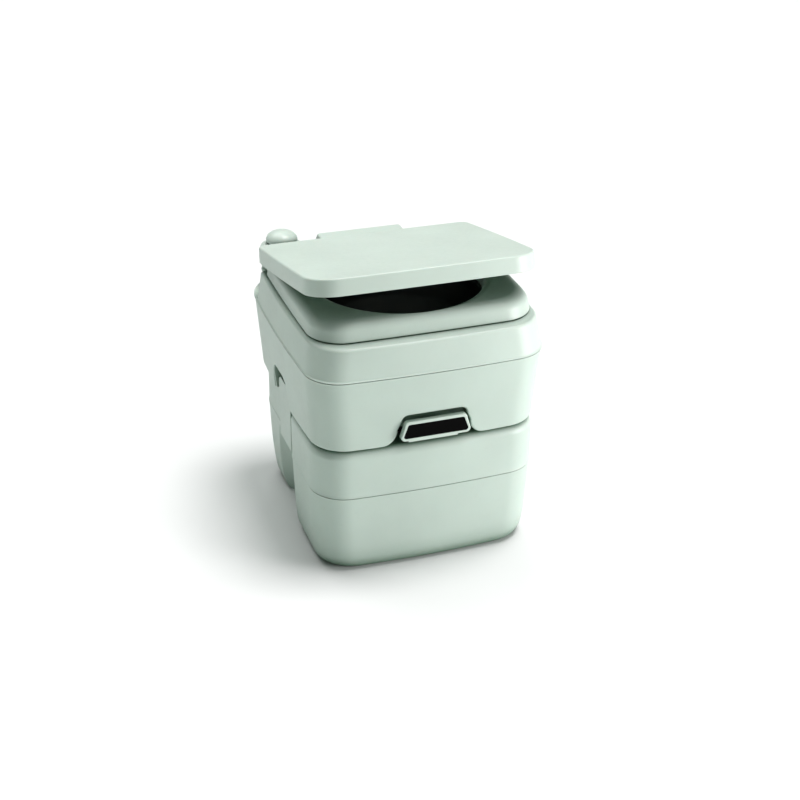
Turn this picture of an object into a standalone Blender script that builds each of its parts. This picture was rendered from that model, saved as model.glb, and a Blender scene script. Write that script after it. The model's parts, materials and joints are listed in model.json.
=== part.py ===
"""Portable camp toilet: a flush tank with bowl, seat and lid, latched on a holding tank.

Metres, +Z up. The origin is the centre of the footprint, on the floor. -Y is the front.
"""

import math

import bmesh
import bpy
from mathutils import Matrix, Vector

# --- Driving dimensions ------------------------------------------------------------------

WALL = 0.0035
GAP = 0.0004

# Plan of the flush tank at its parting seam, where it is widest.
HALF_WIDTH = 0.1715
FRONT_Y = -0.192
BACK_Y = 0.1965
SIDE_BOW = 0.0036
FRONT_RADIUS = 0.052
BACK_RADIUS = 0.082

DECK_Z = 0.350
FLUSH_SEAM_Z = 0.3042
FLUSH_FLOOR_Z = 0.1960

# Plan of the holding tank at its parting seam. Behind the step its sides are set in.
HOLD_HALF = 0.1648
HOLD_REAR_HALF = 0.153
HOLD_FRONT_Y = -0.1853
HOLD_BACK_Y = 0.172
HOLD_STEP_Y = -0.040
HOLD_BACK_RADIUS = 0.045
HOLD_TOP_Z = 0.194
HOLD_SEAM_Z = 0.122

BOWL_Y = -0.0307
BOWL_RADIUS = 0.118
BOWL_RIM_RADIUS = 0.129
OUTLET_RADIUS = 0.037

# Seat and lid turn on one axis along X.
HINGE_Y = 0.124
HINGE_Z = 0.3730
LID_AJAR = math.radians(12.0)
LID_HALF = 0.1640
LID_FRONT_Y = -0.169
LID_BACK_Y = 0.1295
LID_TOP_Z = 0.3821
LID_SKIRT_Z = 0.3583
LID_WALL = 0.0025
SEAT_HALF = 0.160
SEAT_FRONT_Y = -0.1672
SEAT_BACK_Y = 0.106
SEAT_BASE_Z = 0.3515
SEAT_TOP_Z = 0.3785

PUMP_X = -0.1165
PUMP_Y = 0.1645
PUMP_FLOOR_Z = 0.3065
BELLOWS_RADIUS = 0.0320
BELLOWS_TOP_Z = 0.3665
BELLOWS_BOTTOM_Z = 0.3125
BELLOWS_PLEATS = 6
KNOB_RADIUS = 0.0235
KNOB_TOP_Z = 0.3865

FILLER_X = 0.1155
FILLER_Y = 0.151

# Slide valve stack, between the holding tank's deck and the flush tank's raised floor.
VALVE_Y = BOWL_Y
PLATE_HALF = 0.054
PLATE_BACK_Y = 0.030
PLATE_FRONT_Y = -0.150
LOWER_PLATE = (0.1944, 0.1972)
BLADE = (0.1980, 0.2008)
UPPER_PLATE = (0.2016, 0.2044)
SEAL = (0.2048, 0.2080)
TUNNEL_HALF = 0.062
TUNNEL_TOP_Z = 0.2140

POCKET_BACK_Y = -0.166
POCKET_TOP_Z = 0.2415
POCKET_HALF = (0.0520, 0.0468)
POCKET_SWEEP = 0.026
BADGE_FRONT_Y = -0.1965
BADGE_BACK_Y = -0.1875
BADGE_Z = (0.2062, 0.2352)
BADGE_HALF = (0.0505, 0.0455)

LATCH_Y = (-0.037, 0.022)
LATCH_Z = (0.1252, 0.2235)
LATCH_X = (0.1553, 0.1638)
LATCH_PIVOT = (0.1596, 0.1300)
ARCH_Y = (-0.0395, 0.0345)
ARCH_TOP_Z = 0.2405
ARCH_DEPTH_X = 0.140

SPOUT_X = 0.085
SPOUT_Z = 0.158
VENT_X = 0.030
VENT_Y = 0.105

COLOURS = {
    "sage": ((0.600, 0.680, 0.610, 1.0), 0.42, 0.0),
    "sage_light": ((0.660, 0.730, 0.665, 1.0), 0.40, 0.0),
    "black": ((0.010, 0.011, 0.011, 1.0), 0.35, 0.0),
    "bowl_grey": ((0.030, 0.034, 0.032, 1.0), 0.30, 0.0),
    "rubber": ((0.020, 0.020, 0.020, 1.0), 0.75, 0.0),
    "steel": ((0.600, 0.600, 0.610, 1.0), 0.30, 1.0),
    "clear_tube": ((0.700, 0.730, 0.700, 1.0), 0.35, 0.0),
}

# --- Scene helpers -----------------------------------------------------------------------

for old in list(bpy.data.objects):
    bpy.data.objects.remove(old, do_unlink=True)

PARTS = bpy.data.collections.new("portable_camp_toilet")
bpy.context.scene.collection.children.link(PARTS)


def make_material(name):
    """Principled material of one of the part's colours."""
    colour, roughness, metallic = COLOURS[name]
    material = bpy.data.materials.new(name)
    material.use_nodes = True
    shader = material.node_tree.nodes["Principled BSDF"]
    shader.inputs["Base Color"].default_value = colour
    shader.inputs["Roughness"].default_value = roughness
    shader.inputs["Metallic"].default_value = metallic
    return material


MATERIALS = {name: make_material(name) for name in COLOURS}


def add_mesh(name, mesh):
    """Put a mesh in the parts' collection as an object."""
    made = bpy.data.objects.new(name, mesh)
    PARTS.objects.link(made)
    return made


def add_bmesh(name, bm):
    """Turn a bmesh into an object with its faces pointing out."""
    bm.normal_update()
    bmesh.ops.recalc_face_normals(bm, faces=bm.faces)
    mesh = bpy.data.meshes.new(name)
    bm.to_mesh(mesh)
    bm.free()
    return add_mesh(name, mesh)


def bake(made):
    """Replace an object by the mesh that its modifiers or curve give."""
    evaluated = made.evaluated_get(bpy.context.evaluated_depsgraph_get())
    mesh = bpy.data.meshes.new_from_object(evaluated)
    name = made.name
    place = made.matrix_world.copy()
    bpy.data.objects.remove(made, do_unlink=True)
    bm = bmesh.new()
    bm.from_mesh(mesh)
    bmesh.ops.remove_doubles(bm, verts=bm.verts, dist=0.00001)
    bm.transform(place)
    return add_bmesh(name, bm)


def carve(target, tool, operation="DIFFERENCE"):
    """Cut a target with a tool, or join them, and drop the tool."""
    bpy.context.view_layer.update()
    step = target.modifiers.new("carve", "BOOLEAN")
    step.operation = operation
    step.solver = "EXACT"
    step.object = tool
    made = bake(target)
    bpy.data.objects.remove(tool, do_unlink=True)
    return made


def finish(made, name, colour, pivot=(0.0, 0.0, 0.0), smooth=True):
    """Name a part, colour it and put its origin on its pivot."""
    made.name = name
    made.data.name = name
    made.data.materials.clear()
    made.data.materials.append(MATERIALS[colour])
    made.data.transform(Matrix.Translation(-Vector(pivot)))
    made.location = pivot
    if smooth:
        made.data.shade_smooth()
        made.data.set_sharp_from_angle(angle=math.radians(35))
    return made


def arc(centre, radius, start, end, steps):
    """Points on an arc, both ends included, in degrees."""
    points = []
    for k in range(steps + 1):
        angle = math.radians(start + (end - start) * k / steps)
        points.append((centre[0] + radius * math.cos(angle), centre[1] + radius * math.sin(angle)))
    return points


def bowed(first, second, bulge, steps):
    """Points strictly between two corners, bulging to the right of the way along."""
    dx, dy = second[0] - first[0], second[1] - first[1]
    length = math.hypot(dx, dy)
    points = []
    for k in range(1, steps):
        t = k / steps
        out = 4.0 * bulge * t * (1.0 - t)
        points.append((first[0] + dx * t + dy / length * out, first[1] + dy * t - dx / length * out))
    return points


def tank_outline(half, front, back, front_radius, back_radius, bow=SIDE_BOW):
    """Rounded rectangle in plan, anticlockwise, with its front and sides slightly bowed."""
    f, b = front_radius, back_radius
    left_front = arc((-half + f, front + f), f, 180, 270, 6)
    right_front = arc((half - f, front + f), f, 270, 360, 6)
    right_back = arc((half - b, back - b), b, 0, 90, 6)
    left_back = arc((-half + b, back - b), b, 90, 180, 6)
    points = left_front + bowed(left_front[-1], right_front[0], bow, 4)
    points += right_front + bowed(right_front[-1], right_back[0], bow, 4)
    points += right_back + left_back + bowed(left_back[-1], left_front[0], bow, 4)
    return points


def stepped_outline(half, rear_half, front, back, inset=0.0):
    """Holding tank in plan: full width in front of the step, set in behind it."""
    f, b, s = FRONT_RADIUS - inset / 2, HOLD_BACK_RADIUS - inset / 2, 0.005
    step = HOLD_STEP_Y - inset
    right_front = arc((half - f, front + f), f, 270, 360, 6)
    right_step = arc((half - s, step - s), s, 0, 90, 2)
    right_inner = arc((rear_half + s, step + s), s, 270, 180, 2)
    right_back = arc((rear_half - b, back - b), b, 0, 90, 5)
    right = right_front + right_step + right_inner + right_back
    left = [(-x, y) for x, y in reversed(right)]
    return right + left + bowed(left[-1], right[0], SIDE_BOW, 4)


def loft(name, levels):
    """Closed body through outlines of equal point count, given as (points, z), bottom first."""
    bm = bmesh.new()
    rings = [[bm.verts.new((x, y, z)) for x, y in points] for points, z in levels]
    for low, high in zip(rings, rings[1:]):
        for k in range(len(low)):
            n = (k + 1) % len(low)
            bm.faces.new((low[k], low[n], high[n], high[k]))
    bm.faces.new(reversed(rings[0]))
    bm.faces.new(rings[-1])
    return add_bmesh(name, bm)


PLANES = {
    "XY": Matrix.Identity(3),
    "XZ": Matrix(((1, 0, 0), (0, 0, -1), (0, 1, 0))),
    "YZ": Matrix(((0, 0, 1), (1, 0, 0), (0, 1, 0))),
}


def plate(name, points, low, high, plane="XY"):
    """Flat outline of the given thickness, from low to high across its plane."""
    curve = bpy.data.curves.new(name, "CURVE")
    curve.dimensions = "2D"
    curve.fill_mode = "BOTH"
    curve.extrude = (high - low) / 2
    spline = curve.splines.new("POLY")
    spline.points.add(len(points) - 1)
    for point, (a, b) in zip(spline.points, points):
        point.co = (a, b, 0.0, 1.0)
    spline.use_cyclic_u = True
    turn = PLANES[plane]
    shift = turn @ Vector((0.0, 0.0, 1.0)) * (low + high) / 2
    if plane == "XZ":
        shift = -shift
    made = add_mesh(name, curve)
    made.matrix_world = Matrix.Translation(shift) @ turn.to_4x4()
    bpy.context.view_layer.update()
    return bake(made)


def box(name, low, high, bevel=0.0):
    """Box between two corners, with its edges rounded if asked."""
    bm = bmesh.new()
    bmesh.ops.create_cube(bm, size=1.0)
    size = [h - l for l, h in zip(low, high)]
    middle = [(h + l) / 2 for l, h in zip(low, high)]
    bmesh.ops.scale(bm, vec=size, verts=bm.verts)
    bmesh.ops.translate(bm, vec=middle, verts=bm.verts)
    if bevel:
        bmesh.ops.bevel(bm, geom=bm.edges[:], offset=bevel, segments=2, profile=0.5, affect="EDGES")
    return add_bmesh(name, bm)


def rod(name, centre, radius, length, axis="Z", segments=20):
    """Cylinder along an axis, about its middle."""
    bm = bmesh.new()
    bmesh.ops.create_cone(
        bm, cap_ends=True, segments=segments, radius1=radius, radius2=radius, depth=length
    )
    turns = {"X": Matrix.Rotation(math.pi / 2, 4, "Y"), "Y": Matrix.Rotation(-math.pi / 2, 4, "X")}
    if axis in turns:
        bm.transform(turns[axis])
    bm.transform(Matrix.Translation(centre))
    return add_bmesh(name, bm)


def turned(name, profile, centre=(0.0, 0.0), segments=32, closed=False):
    """Turned body on a vertical axis. The profile, in (radius, z), runs down the outer side."""
    bm = bmesh.new()
    verts = [bm.verts.new((r, 0.0, z)) for r, z in profile]
    for first, second in zip(verts, verts[1:]):
        bm.edges.new((first, second))
    if closed:
        bm.edges.new((verts[-1], verts[0]))
    mesh = bpy.data.meshes.new(name)
    bm.to_mesh(mesh)
    bm.free()
    made = add_mesh(name, mesh)
    made.location = (centre[0], centre[1], 0.0)
    screw = made.modifiers.new("turn", "SCREW")
    screw.steps = segments
    screw.render_steps = segments
    screw.use_merge_vertices = True
    screw.merge_threshold = 0.00002
    bpy.context.view_layer.update()
    return bake(made)


def tube(name, points, radius, sides=2):
    """Round rod along a list of points."""
    curve = bpy.data.curves.new(name, "CURVE")
    curve.dimensions = "3D"
    curve.bevel_depth = radius
    curve.bevel_resolution = sides
    curve.use_fill_caps = True
    spline = curve.splines.new("POLY")
    spline.points.add(len(points) - 1)
    for point, place in zip(spline.points, points):
        point.co = (*place, 1.0)
    made = add_mesh(name, curve)
    bpy.context.view_layer.update()
    return bake(made)


# --- Flush tank --------------------------------------------------------------------------


def flush_outline(inset):
    """Flush tank's plan, pulled in by an inset."""
    tight = max(0.0, inset - 0.008)
    return tank_outline(
        HALF_WIDTH - inset,
        FRONT_Y + inset,
        BACK_Y - inset,
        FRONT_RADIUS - tight,
        BACK_RADIUS - tight,
    )


def pump_bay(grow):
    """Upright hollow at the left back corner that the pump stands in."""
    radius = 0.041 + grow
    reach = 0.147 - grow
    front = 0.107 - grow
    touch = math.degrees(math.acos((reach + PUMP_X) / radius))
    points = [(-0.22, front), (-reach, front)]
    points += arc((PUMP_X, PUMP_Y), radius, 180 + touch, 360, 9)
    points += [(PUMP_X + radius, 0.25), (-0.22, 0.25)]
    return points


def make_flush_top():
    """Deck and upper wall of the flush tank, open downwards at the seam."""
    levels = [
        (0.0000, FLUSH_SEAM_Z + GAP),
        (0.0012, FLUSH_SEAM_Z + 0.0030),
        (0.0074, 0.3460),
        (0.0082, 0.3483),
        (0.0096, 0.3495),
        (0.0118, DECK_Z),
    ]
    shell = loft("shell", [(flush_outline(inset), z) for inset, z in levels])
    shell = carve(shell, plate("bay", pump_bay(0.0), PUMP_FLOOR_Z, 0.40))
    under = DECK_Z - WALL
    hollow = loft("hollow", [
        (flush_outline(WALL), 0.29),
        (flush_outline(0.0045), FLUSH_SEAM_Z + 0.003),
        (flush_outline(0.0105), under - 0.004),
        (flush_outline(0.0150), under),
    ])
    hollow = carve(hollow, plate("bay", pump_bay(0.003), 0.20, 0.40))
    shell = carve(shell, hollow)
    shell = carve(shell, rod("mouth", (0, BOWL_Y, DECK_Z), BOWL_RADIUS + 0.004, 0.06, segments=48))
    shell = carve(shell, rod("fill", (FILLER_X, FILLER_Y, DECK_Z), 0.0185, 0.06, segments=24))
    shell = carve(shell, rod("feed", (PUMP_X, PUMP_Y, PUMP_FLOOR_Z), 0.0190, 0.02, segments=24))
    for side in (-1, 1):
        shell = carve(shell, hinge_bracket(side), "UNION")
    return finish(shell, "flush_tank_top", "sage")


def hinge_bracket(side):
    """Upright ear on the deck that carries one hinge pin."""
    x = side * 0.0645
    profile = [(HINGE_Y - 0.012, DECK_Z - 0.001), (HINGE_Y + 0.0005, DECK_Z - 0.001)]
    profile += arc((HINGE_Y, HINGE_Z), 0.0058, -10, 200, 6)
    ear = plate("ear", profile, x - 0.004, x + 0.004, "YZ")
    return carve(ear, rod("bore", (x, HINGE_Y, HINGE_Z), 0.0028, 0.03, "X", 16))


def arch_outline(grow):
    """Side opening over a latch: straight sides and a rounded top."""
    low, high = ARCH_Y[0] - grow, ARCH_Y[1] + grow
    corner = 0.020 + grow
    top = ARCH_TOP_Z + grow
    points = [(low, 0.18), (high, 0.18)]
    points += arc((high - corner, top - corner), corner, 0, 90, 5)
    points += arc((low + corner, top - corner), corner, 90, 180, 5)
    return points


def pocket_outline(grow):
    """Opening in the front wall for the valve's handle, with its lower corners swept out."""
    half, top_half = POCKET_HALF[0] + grow, POCKET_HALF[1] + grow
    top = POCKET_TOP_Z + grow
    corner = 0.009
    low = FLUSH_FLOOR_Z - 0.0012
    reach = half + POCKET_SWEEP
    high = low + POCKET_SWEEP
    points = [(-reach, 0.18), (reach, 0.18), (reach, low)]
    points += arc((reach, high), POCKET_SWEEP, 270, 180, 5)[1:]
    points += arc((top_half - corner, top - corner), corner, 0, 90, 3)
    points += arc((-top_half + corner, top - corner), corner, 90, 180, 3)
    points += arc((-reach, high), POCKET_SWEEP, 0, -90, 5)[:-1]
    points += [(-reach, low)]
    return points


def make_flush_base():
    """Lower wall and floor of the flush tank, open upwards at the seam."""
    levels = [
        (0.0120, FLUSH_FLOOR_Z),
        (0.0094, FLUSH_FLOOR_Z + 0.0012),
        (0.0083, FLUSH_FLOOR_Z + 0.0040),
        (0.0010, FLUSH_SEAM_Z - 0.003),
        (0.0000, FLUSH_SEAM_Z),
    ]
    shell = loft("shell", [(flush_outline(inset), z) for inset, z in levels])
    floor = FLUSH_FLOOR_Z + WALL
    hollow = loft("hollow", [
        (flush_outline(0.0150), floor),
        (flush_outline(0.0115), floor + 0.004),
        (flush_outline(WALL), 0.32),
    ])
    hollow = carve(hollow, box("tunnel", (-0.0655, -0.3, 0.1), (0.0655, 0.085, TUNNEL_TOP_Z + WALL)))
    hollow = carve(hollow, plate("pocket", pocket_outline(WALL), -0.3, POCKET_BACK_Y + WALL, "XZ"))
    for side in (-1, 1):
        near, far = sorted((side * (ARCH_DEPTH_X - WALL), side * 0.3))
        hollow = carve(hollow, plate("arch", arch_outline(WALL), near, far, "YZ"))
    shell = carve(shell, hollow)
    for side in (-1, 1):
        near, far = sorted((side * ARCH_DEPTH_X, side * 0.3))
        shell = carve(shell, plate("arch", arch_outline(0.0), near, far, "YZ"))
        shell = carve(shell, latch_keeper(side), "UNION")
    shell = carve(shell, plate("pocket", pocket_outline(0.0), -0.3, POCKET_BACK_Y, "XZ"))
    tunnel = box("tunnel", (-TUNNEL_HALF, POCKET_BACK_Y - 0.001, 0.1), (TUNNEL_HALF, 0.0815, TUNNEL_TOP_Z))
    shell = carve(shell, tunnel)
    shell = carve(shell, rod("throat", (0, BOWL_Y, 0.22), OUTLET_RADIUS + 0.0045, 0.05, segments=32))
    return finish(shell, "flush_tank_base", "sage")


def latch_keeper(side):
    """Ledge in the side opening that a latch hooks over."""
    near, far = sorted((side * (ARCH_DEPTH_X - 0.001), side * 0.1532))
    return box("keeper", (near, -0.024, 0.2000), (far, 0.012, 0.2060))


def make_bowl():
    """Turned bowl with a rim that rests on the deck and an outlet that meets the valve seal."""
    profile = [
        (BOWL_RIM_RADIUS, 0.3532),
        (BOWL_RIM_RADIUS, DECK_Z + GAP),
        (BOWL_RADIUS + 0.0030, DECK_Z + GAP),
        (BOWL_RADIUS + 0.0015, 0.3350),
        (0.1080, 0.3000),
        (0.0860, 0.2660),
        (0.0590, 0.2370),
        (OUTLET_RADIUS + 0.0040, 0.2200),
        (OUTLET_RADIUS + 0.0035, SEAL[1] + GAP),
        (OUTLET_RADIUS, SEAL[1] + GAP),
        (OUTLET_RADIUS, 0.2212),
        (0.0570, 0.2400),
        (0.0835, 0.2690),
        (0.1048, 0.3020),
        (BOWL_RADIUS - 0.0017, 0.3350),
        (BOWL_RADIUS, 0.3532),
    ]
    return finish(turned("bowl", profile, (0.0, BOWL_Y), 48, True), "bowl", "bowl_grey")


# --- Seat and lid ------------------------------------------------------------------------


def seat_outline(inset, radius):
    """Seat's plan, pulled in by an inset."""
    return tank_outline(
        SEAT_HALF - inset, SEAT_FRONT_Y + inset, SEAT_BACK_Y - inset, radius, 0.022, bow=0.0012
    )


def make_seat():
    """Moulded seat ring, hollow underneath, with a round opening and two hinge lugs."""
    levels = [
        (0.0000, SEAT_BASE_Z),
        (0.0024, 0.3620),
        (0.0052, 0.3700),
        (0.0085, 0.3748),
        (0.0130, 0.3776),
        (0.0190, SEAT_TOP_Z),
    ]
    radius = 0.050
    seat = loft("seat", [(seat_outline(inset, radius - inset / 3), z) for inset, z in levels])
    hollow = loft("hollow", [
        (seat_outline(0.0040, 0.046), 0.30),
        (seat_outline(0.0062, 0.045), 0.3640),
        (seat_outline(0.0130, 0.040), 0.3735),
    ])
    wall = BOWL_RADIUS + 0.0058
    hollow = carve(hollow, rod("core", (0, BOWL_Y, 0.34), wall, 0.2, segments=48))
    seat = carve(seat, hollow)
    clear_of_rim = rod("step", (0, BOWL_Y, 0.3275), BOWL_RIM_RADIUS + 0.0025, 0.055, segments=48)
    seat = carve(seat, clear_of_rim)
    lip = [
        (0.1300, 0.40),
        (0.1300, 0.3790),
        (0.1235, 0.3768),
        (0.1202, 0.3720),
        (0.1195, 0.3640),
        (0.1195, 0.33),
    ]
    opening = turned("opening", [(0.0, 0.40)] + lip + [(0.0, 0.33)], (0.0, BOWL_Y), 48)
    seat = carve(seat, opening)
    for side in (-1, 1):
        seat = carve(seat, seat_lug(side), "UNION")
    return finish(seat, "seat", "sage", (0.0, HINGE_Y, HINGE_Z))


def seat_lug(side):
    """Arm from the seat's back edge to its hinge pin."""
    x = side * 0.0550
    profile = [(SEAT_BACK_Y - 0.0035, 0.3735), (SEAT_BACK_Y - 0.0035, 0.3600)]
    profile += arc((HINGE_Y, HINGE_Z), 0.0055, -100, 110, 6)
    lug = plate("lug", profile, x - 0.004, x + 0.004, "YZ")
    return carve(lug, rod("bore", (x, HINGE_Y, HINGE_Z), 0.0028, 0.03, "X", 16))


def lid_outline(inset):
    """Lid's plan, pulled in by an inset."""
    return tank_outline(
        LID_HALF - inset,
        LID_FRONT_Y + inset,
        LID_BACK_Y - inset,
        0.044 - inset,
        0.016 - min(inset, 0.012),
        bow=0.0015,
    )


def make_lid():
    """Lid with a skirt all round, modelled shut and then turned up to stand ajar."""
    levels = [
        (0.0000, LID_SKIRT_Z),
        (0.0008, LID_TOP_Z - 0.0028),
        (0.0015, LID_TOP_Z - 0.0010),
        (0.0035, LID_TOP_Z),
    ]
    lid = loft("lid", [(lid_outline(inset), z) for inset, z in levels])
    under = LID_TOP_Z - LID_WALL
    hollow = loft("hollow", [
        (lid_outline(LID_WALL), 0.33),
        (lid_outline(LID_WALL + 0.0008), under - 0.002),
        (lid_outline(LID_WALL + 0.0040), under),
    ])
    lid = carve(lid, hollow)
    notch = box("notch", (-0.1460, 0.117, 0.33), (0.1460, 0.16, LID_TOP_Z - 0.0060))
    lid = carve(lid, notch)
    for side in (-1, 1):
        near, far = sorted((side * 0.0480, side * 0.0810))
        lid = carve(lid, box("slot", (near, 0.1165, 0.33), (far, 0.17, LID_TOP_Z - 0.0024)))
        lid = carve(lid, lid_lug(side), "UNION")
    made = finish(lid, "lid", "sage_light", (0.0, HINGE_Y, HINGE_Z))
    made.rotation_euler = (-LID_AJAR, 0.0, 0.0)
    return made


def lid_lug(side):
    """Ear under the lid that turns on the hinge pin."""
    x = side * 0.0740
    top = LID_TOP_Z - LID_WALL + 0.001
    profile = [(HINGE_Y + 0.0035, top), (HINGE_Y - 0.0110, top)]
    profile += arc((HINGE_Y, HINGE_Z), 0.0055, 195, 355, 6)
    lug = plate("lug", profile, x - 0.004, x + 0.004, "YZ")
    return carve(lug, rod("bore", (x, HINGE_Y, HINGE_Z), 0.0028, 0.03, "X", 16))


def make_hinge_pin(side, name):
    """Pin through the ears of the deck, the seat and the lid."""
    return finish(rod(name, (side * 0.0645, HINGE_Y, HINGE_Z), 0.0025, 0.034, "X", 16), name, "steel")


def make_seat_bumpers():
    """Four pads under the seat that stand it off the deck."""
    low, high = DECK_Z + GAP, 0.3725
    for name, x, y in (
        ("front_left", -0.138, -0.127),
        ("front_right", 0.138, -0.127),
        ("back_left", -0.140, 0.080),
        ("back_right", 0.140, 0.080),
    ):
        pad = rod("pad", (x, y, (low + high) / 2), 0.0045, high - low, segments=12)
        finish(pad, "seat_bumper_" + name, "rubber", (0.0, HINGE_Y, HINGE_Z))


# --- Pump --------------------------------------------------------------------------------


def make_bellows():
    """Pleated rubber bellows, open at both ends."""
    pitch = (BELLOWS_TOP_Z - BELLOWS_BOTTOM_Z) / BELLOWS_PLEATS
    outer = [(0.0200, BELLOWS_TOP_Z), (0.0280, BELLOWS_TOP_Z)]
    for k in range(BELLOWS_PLEATS):
        top = BELLOWS_TOP_Z - k * pitch
        outer += [(BELLOWS_RADIUS, top - 0.30 * pitch), (BELLOWS_RADIUS, top - 0.62 * pitch)]
        outer += [(0.0282, top - pitch + 0.0001 * (k == BELLOWS_PLEATS - 1))]
    inner = [(r - 0.0016, z) for r, z in reversed(outer[2:])]
    profile = outer + [(inner[0][0], outer[-1][1])] + inner[1:] + [(0.0200, BELLOWS_TOP_Z - 0.0014)]
    return finish(turned("bellows", profile, (PUMP_X, PUMP_Y), 28, True), "pump_bellows", "sage")


def make_knob():
    """Domed push knob on a short neck."""
    height = 0.0135
    profile = [(0.0, KNOB_TOP_Z)]
    for k in range(1, 7):
        angle = math.radians(15 * k)
        profile.append((KNOB_RADIUS * math.sin(angle), KNOB_TOP_Z - height * (1 - math.cos(angle))))
    profile += [
        (KNOB_RADIUS - 0.0012, KNOB_TOP_Z - height - 0.0022),
        (0.0170, KNOB_TOP_Z - height - 0.0026),
        (0.0165, BELLOWS_TOP_Z + GAP),
        (0.0, BELLOWS_TOP_Z + GAP),
    ]
    return finish(turned("knob", profile, (PUMP_X, PUMP_Y), 32), "pump_knob", "sage_light")


def make_stem():
    """Rod of the pump's piston, inside the bellows."""
    length = BELLOWS_TOP_Z - 0.3500
    middle = (PUMP_X, PUMP_Y, (BELLOWS_TOP_Z + 0.3500) / 2)
    return finish(rod("stem", middle, 0.0050, length, segments=16), "pump_stem", "clear_tube")


def make_pump_base():
    """Screwed ring that holds the bellows on the flush tank, with its suction neck."""
    profile = [
        (0.0312, BELLOWS_BOTTOM_Z - GAP),
        (BELLOWS_RADIUS, BELLOWS_BOTTOM_Z - 0.0012),
        (BELLOWS_RADIUS, PUMP_FLOOR_Z + GAP),
        (0.0180, PUMP_FLOOR_Z + GAP),
        (0.0180, 0.2960),
        (0.0140, 0.2960),
        (0.0140, BELLOWS_BOTTOM_Z - GAP),
    ]
    return finish(turned("base", profile, (PUMP_X, PUMP_Y), 32, True), "pump_base", "sage")


def make_intake():
    """Suction tube from the pump to the bottom of the flush tank, with its strainer."""
    profile = [
        (0.0080, 0.2955),
        (0.0080, 0.2300),
        (0.0096, 0.2260),
        (0.0096, 0.2080),
        (0.0060, 0.2080),
        (0.0060, 0.2955),
    ]
    return finish(turned("intake", profile, (PUMP_X, PUMP_Y), 16, True), "pump_intake_tube", "clear_tube")


def make_flush_tube():
    """Delivery tube from the pump to the bowl's rim, under the deck."""
    points = []
    for k in range(9):
        t = k / 8
        angle = math.radians(153 - 22 * t)
        reach = 0.1380 + 0.0235 * t
        points.append((reach * math.cos(angle), BOWL_Y + reach * math.sin(angle), 0.3200 + 0.012 * t))
    return finish(tube("flush_tube", points, 0.0055), "flush_tube", "clear_tube")


def make_nozzle():
    """Fan nozzle that spreads the water along the bowl's rim."""
    body = box("nozzle", (-0.096, 0.0930, 0.3290), (-0.068, 0.1010, 0.3380), 0.0015)
    return finish(body, "flush_nozzle", "clear_tube")


# --- Filler ------------------------------------------------------------------------------


def make_filler_cap():
    """Cap of the water filler, with a grip bar across it."""
    base = DECK_Z + 0.0022
    profile = [
        (0.0, base + 0.0055),
        (0.0225, base + 0.0055),
        (0.0250, base + 0.0040),
        (0.0255, base),
        (0.0165, base),
        (0.0160, DECK_Z - 0.008),
        (0.0, DECK_Z - 0.008),
    ]
    cap = turned("cap", profile, (FILLER_X, FILLER_Y), 32)
    low = (FILLER_X - 0.0190, FILLER_Y - 0.0035, base + 0.0045)
    high = (FILLER_X + 0.0190, FILLER_Y + 0.0035, base + 0.0105)
    cap = carve(cap, box("grip", low, high, 0.001), "UNION")
    return finish(cap, "filler_cap", "sage_light", (FILLER_X, FILLER_Y, base))


def ring(name, colour, centre, outer, inner, low, high, segments=28):
    """Flat ring on a vertical axis."""
    profile = [(outer, high), (outer, low), (inner, low), (inner, high)]
    return finish(turned(name, profile, centre, segments, True), name, colour, smooth=False)


def make_hinge_cover():
    """Raised cover behind the lid, over the hinge's back edge."""
    points = [(-0.0660, DECK_Z + GAP), (0.0730, DECK_Z + GAP), (0.0725, 0.3685)]
    points += [(0.0700, 0.3710), (-0.0560, 0.3710), (-0.0600, 0.3685)]
    cover = plate("cover", points, 0.1480, 0.1735, "XZ")
    hollow = box("hollow", (-0.0560, 0.1505, 0.34), (0.0680, 0.1710, 0.3685))
    return finish(carve(cover, hollow), "hinge_cover", "sage", smooth=False)


# --- Holding tank ------------------------------------------------------------------------

# Height, inset of the front block, half width and back edge behind the step.
HOLD_LOWER_LEVELS = [
    (0.0000, 0.0165, 0.1370, 0.1500),
    (0.0060, 0.0105, 0.1430, 0.1560),
    (0.0180, 0.0065, 0.1465, 0.1600),
    (0.0380, 0.0045, 0.1490, 0.1640),
    (0.0600, 0.0035, 0.1505, 0.1670),
    (0.0900, 0.0020, 0.1515, 0.1692),
    (0.1190, 0.0008, 0.1522, 0.1712),
    (HOLD_SEAM_Z - GAP, 0.0, HOLD_REAR_HALF, HOLD_BACK_Y),
]
# Height, inner half width and front edge of the hand scoops, and their back edges.
SCOOP_LEVELS = [
    (-0.0100, 0.1050, -0.0420),
    (0.0000, 0.1060, -0.0420),
    (0.0200, 0.1080, -0.0418),
    (0.0450, 0.1120, -0.0414),
    (0.0750, 0.1200, -0.0408),
    (0.1000, 0.1310, -0.0400),
    (0.1130, 0.1430, -0.0390),
    (0.1190, 0.1580, -0.0380),
]
SCOOP_BACK_Y = (0.020, 0.086)

HOLD_UPPER_LEVELS = [
    (HOLD_SEAM_Z, 0.0, HOLD_REAR_HALF, HOLD_BACK_Y),
    (HOLD_SEAM_Z + 0.003, 0.0008, 0.1522, 0.1712),
    (0.1815, 0.0004, 0.1518, 0.1708),
    (0.1880, 0.0026, 0.1500, 0.1690),
    (0.1920, 0.0066, 0.1460, 0.1650),
    (HOLD_TOP_Z, 0.0125, 0.1400, 0.1590),
]


def hold_levels(rows, wall):
    """Outlines of one half of the holding tank, pulled in by a wall thickness."""
    levels = []
    for z, inset, rear_half, back in rows:
        points = stepped_outline(
            HOLD_HALF - inset - wall, rear_half - wall, HOLD_FRONT_Y + inset + wall, back - wall, wall
        )
        levels.append((points, z))
    return levels


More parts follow.
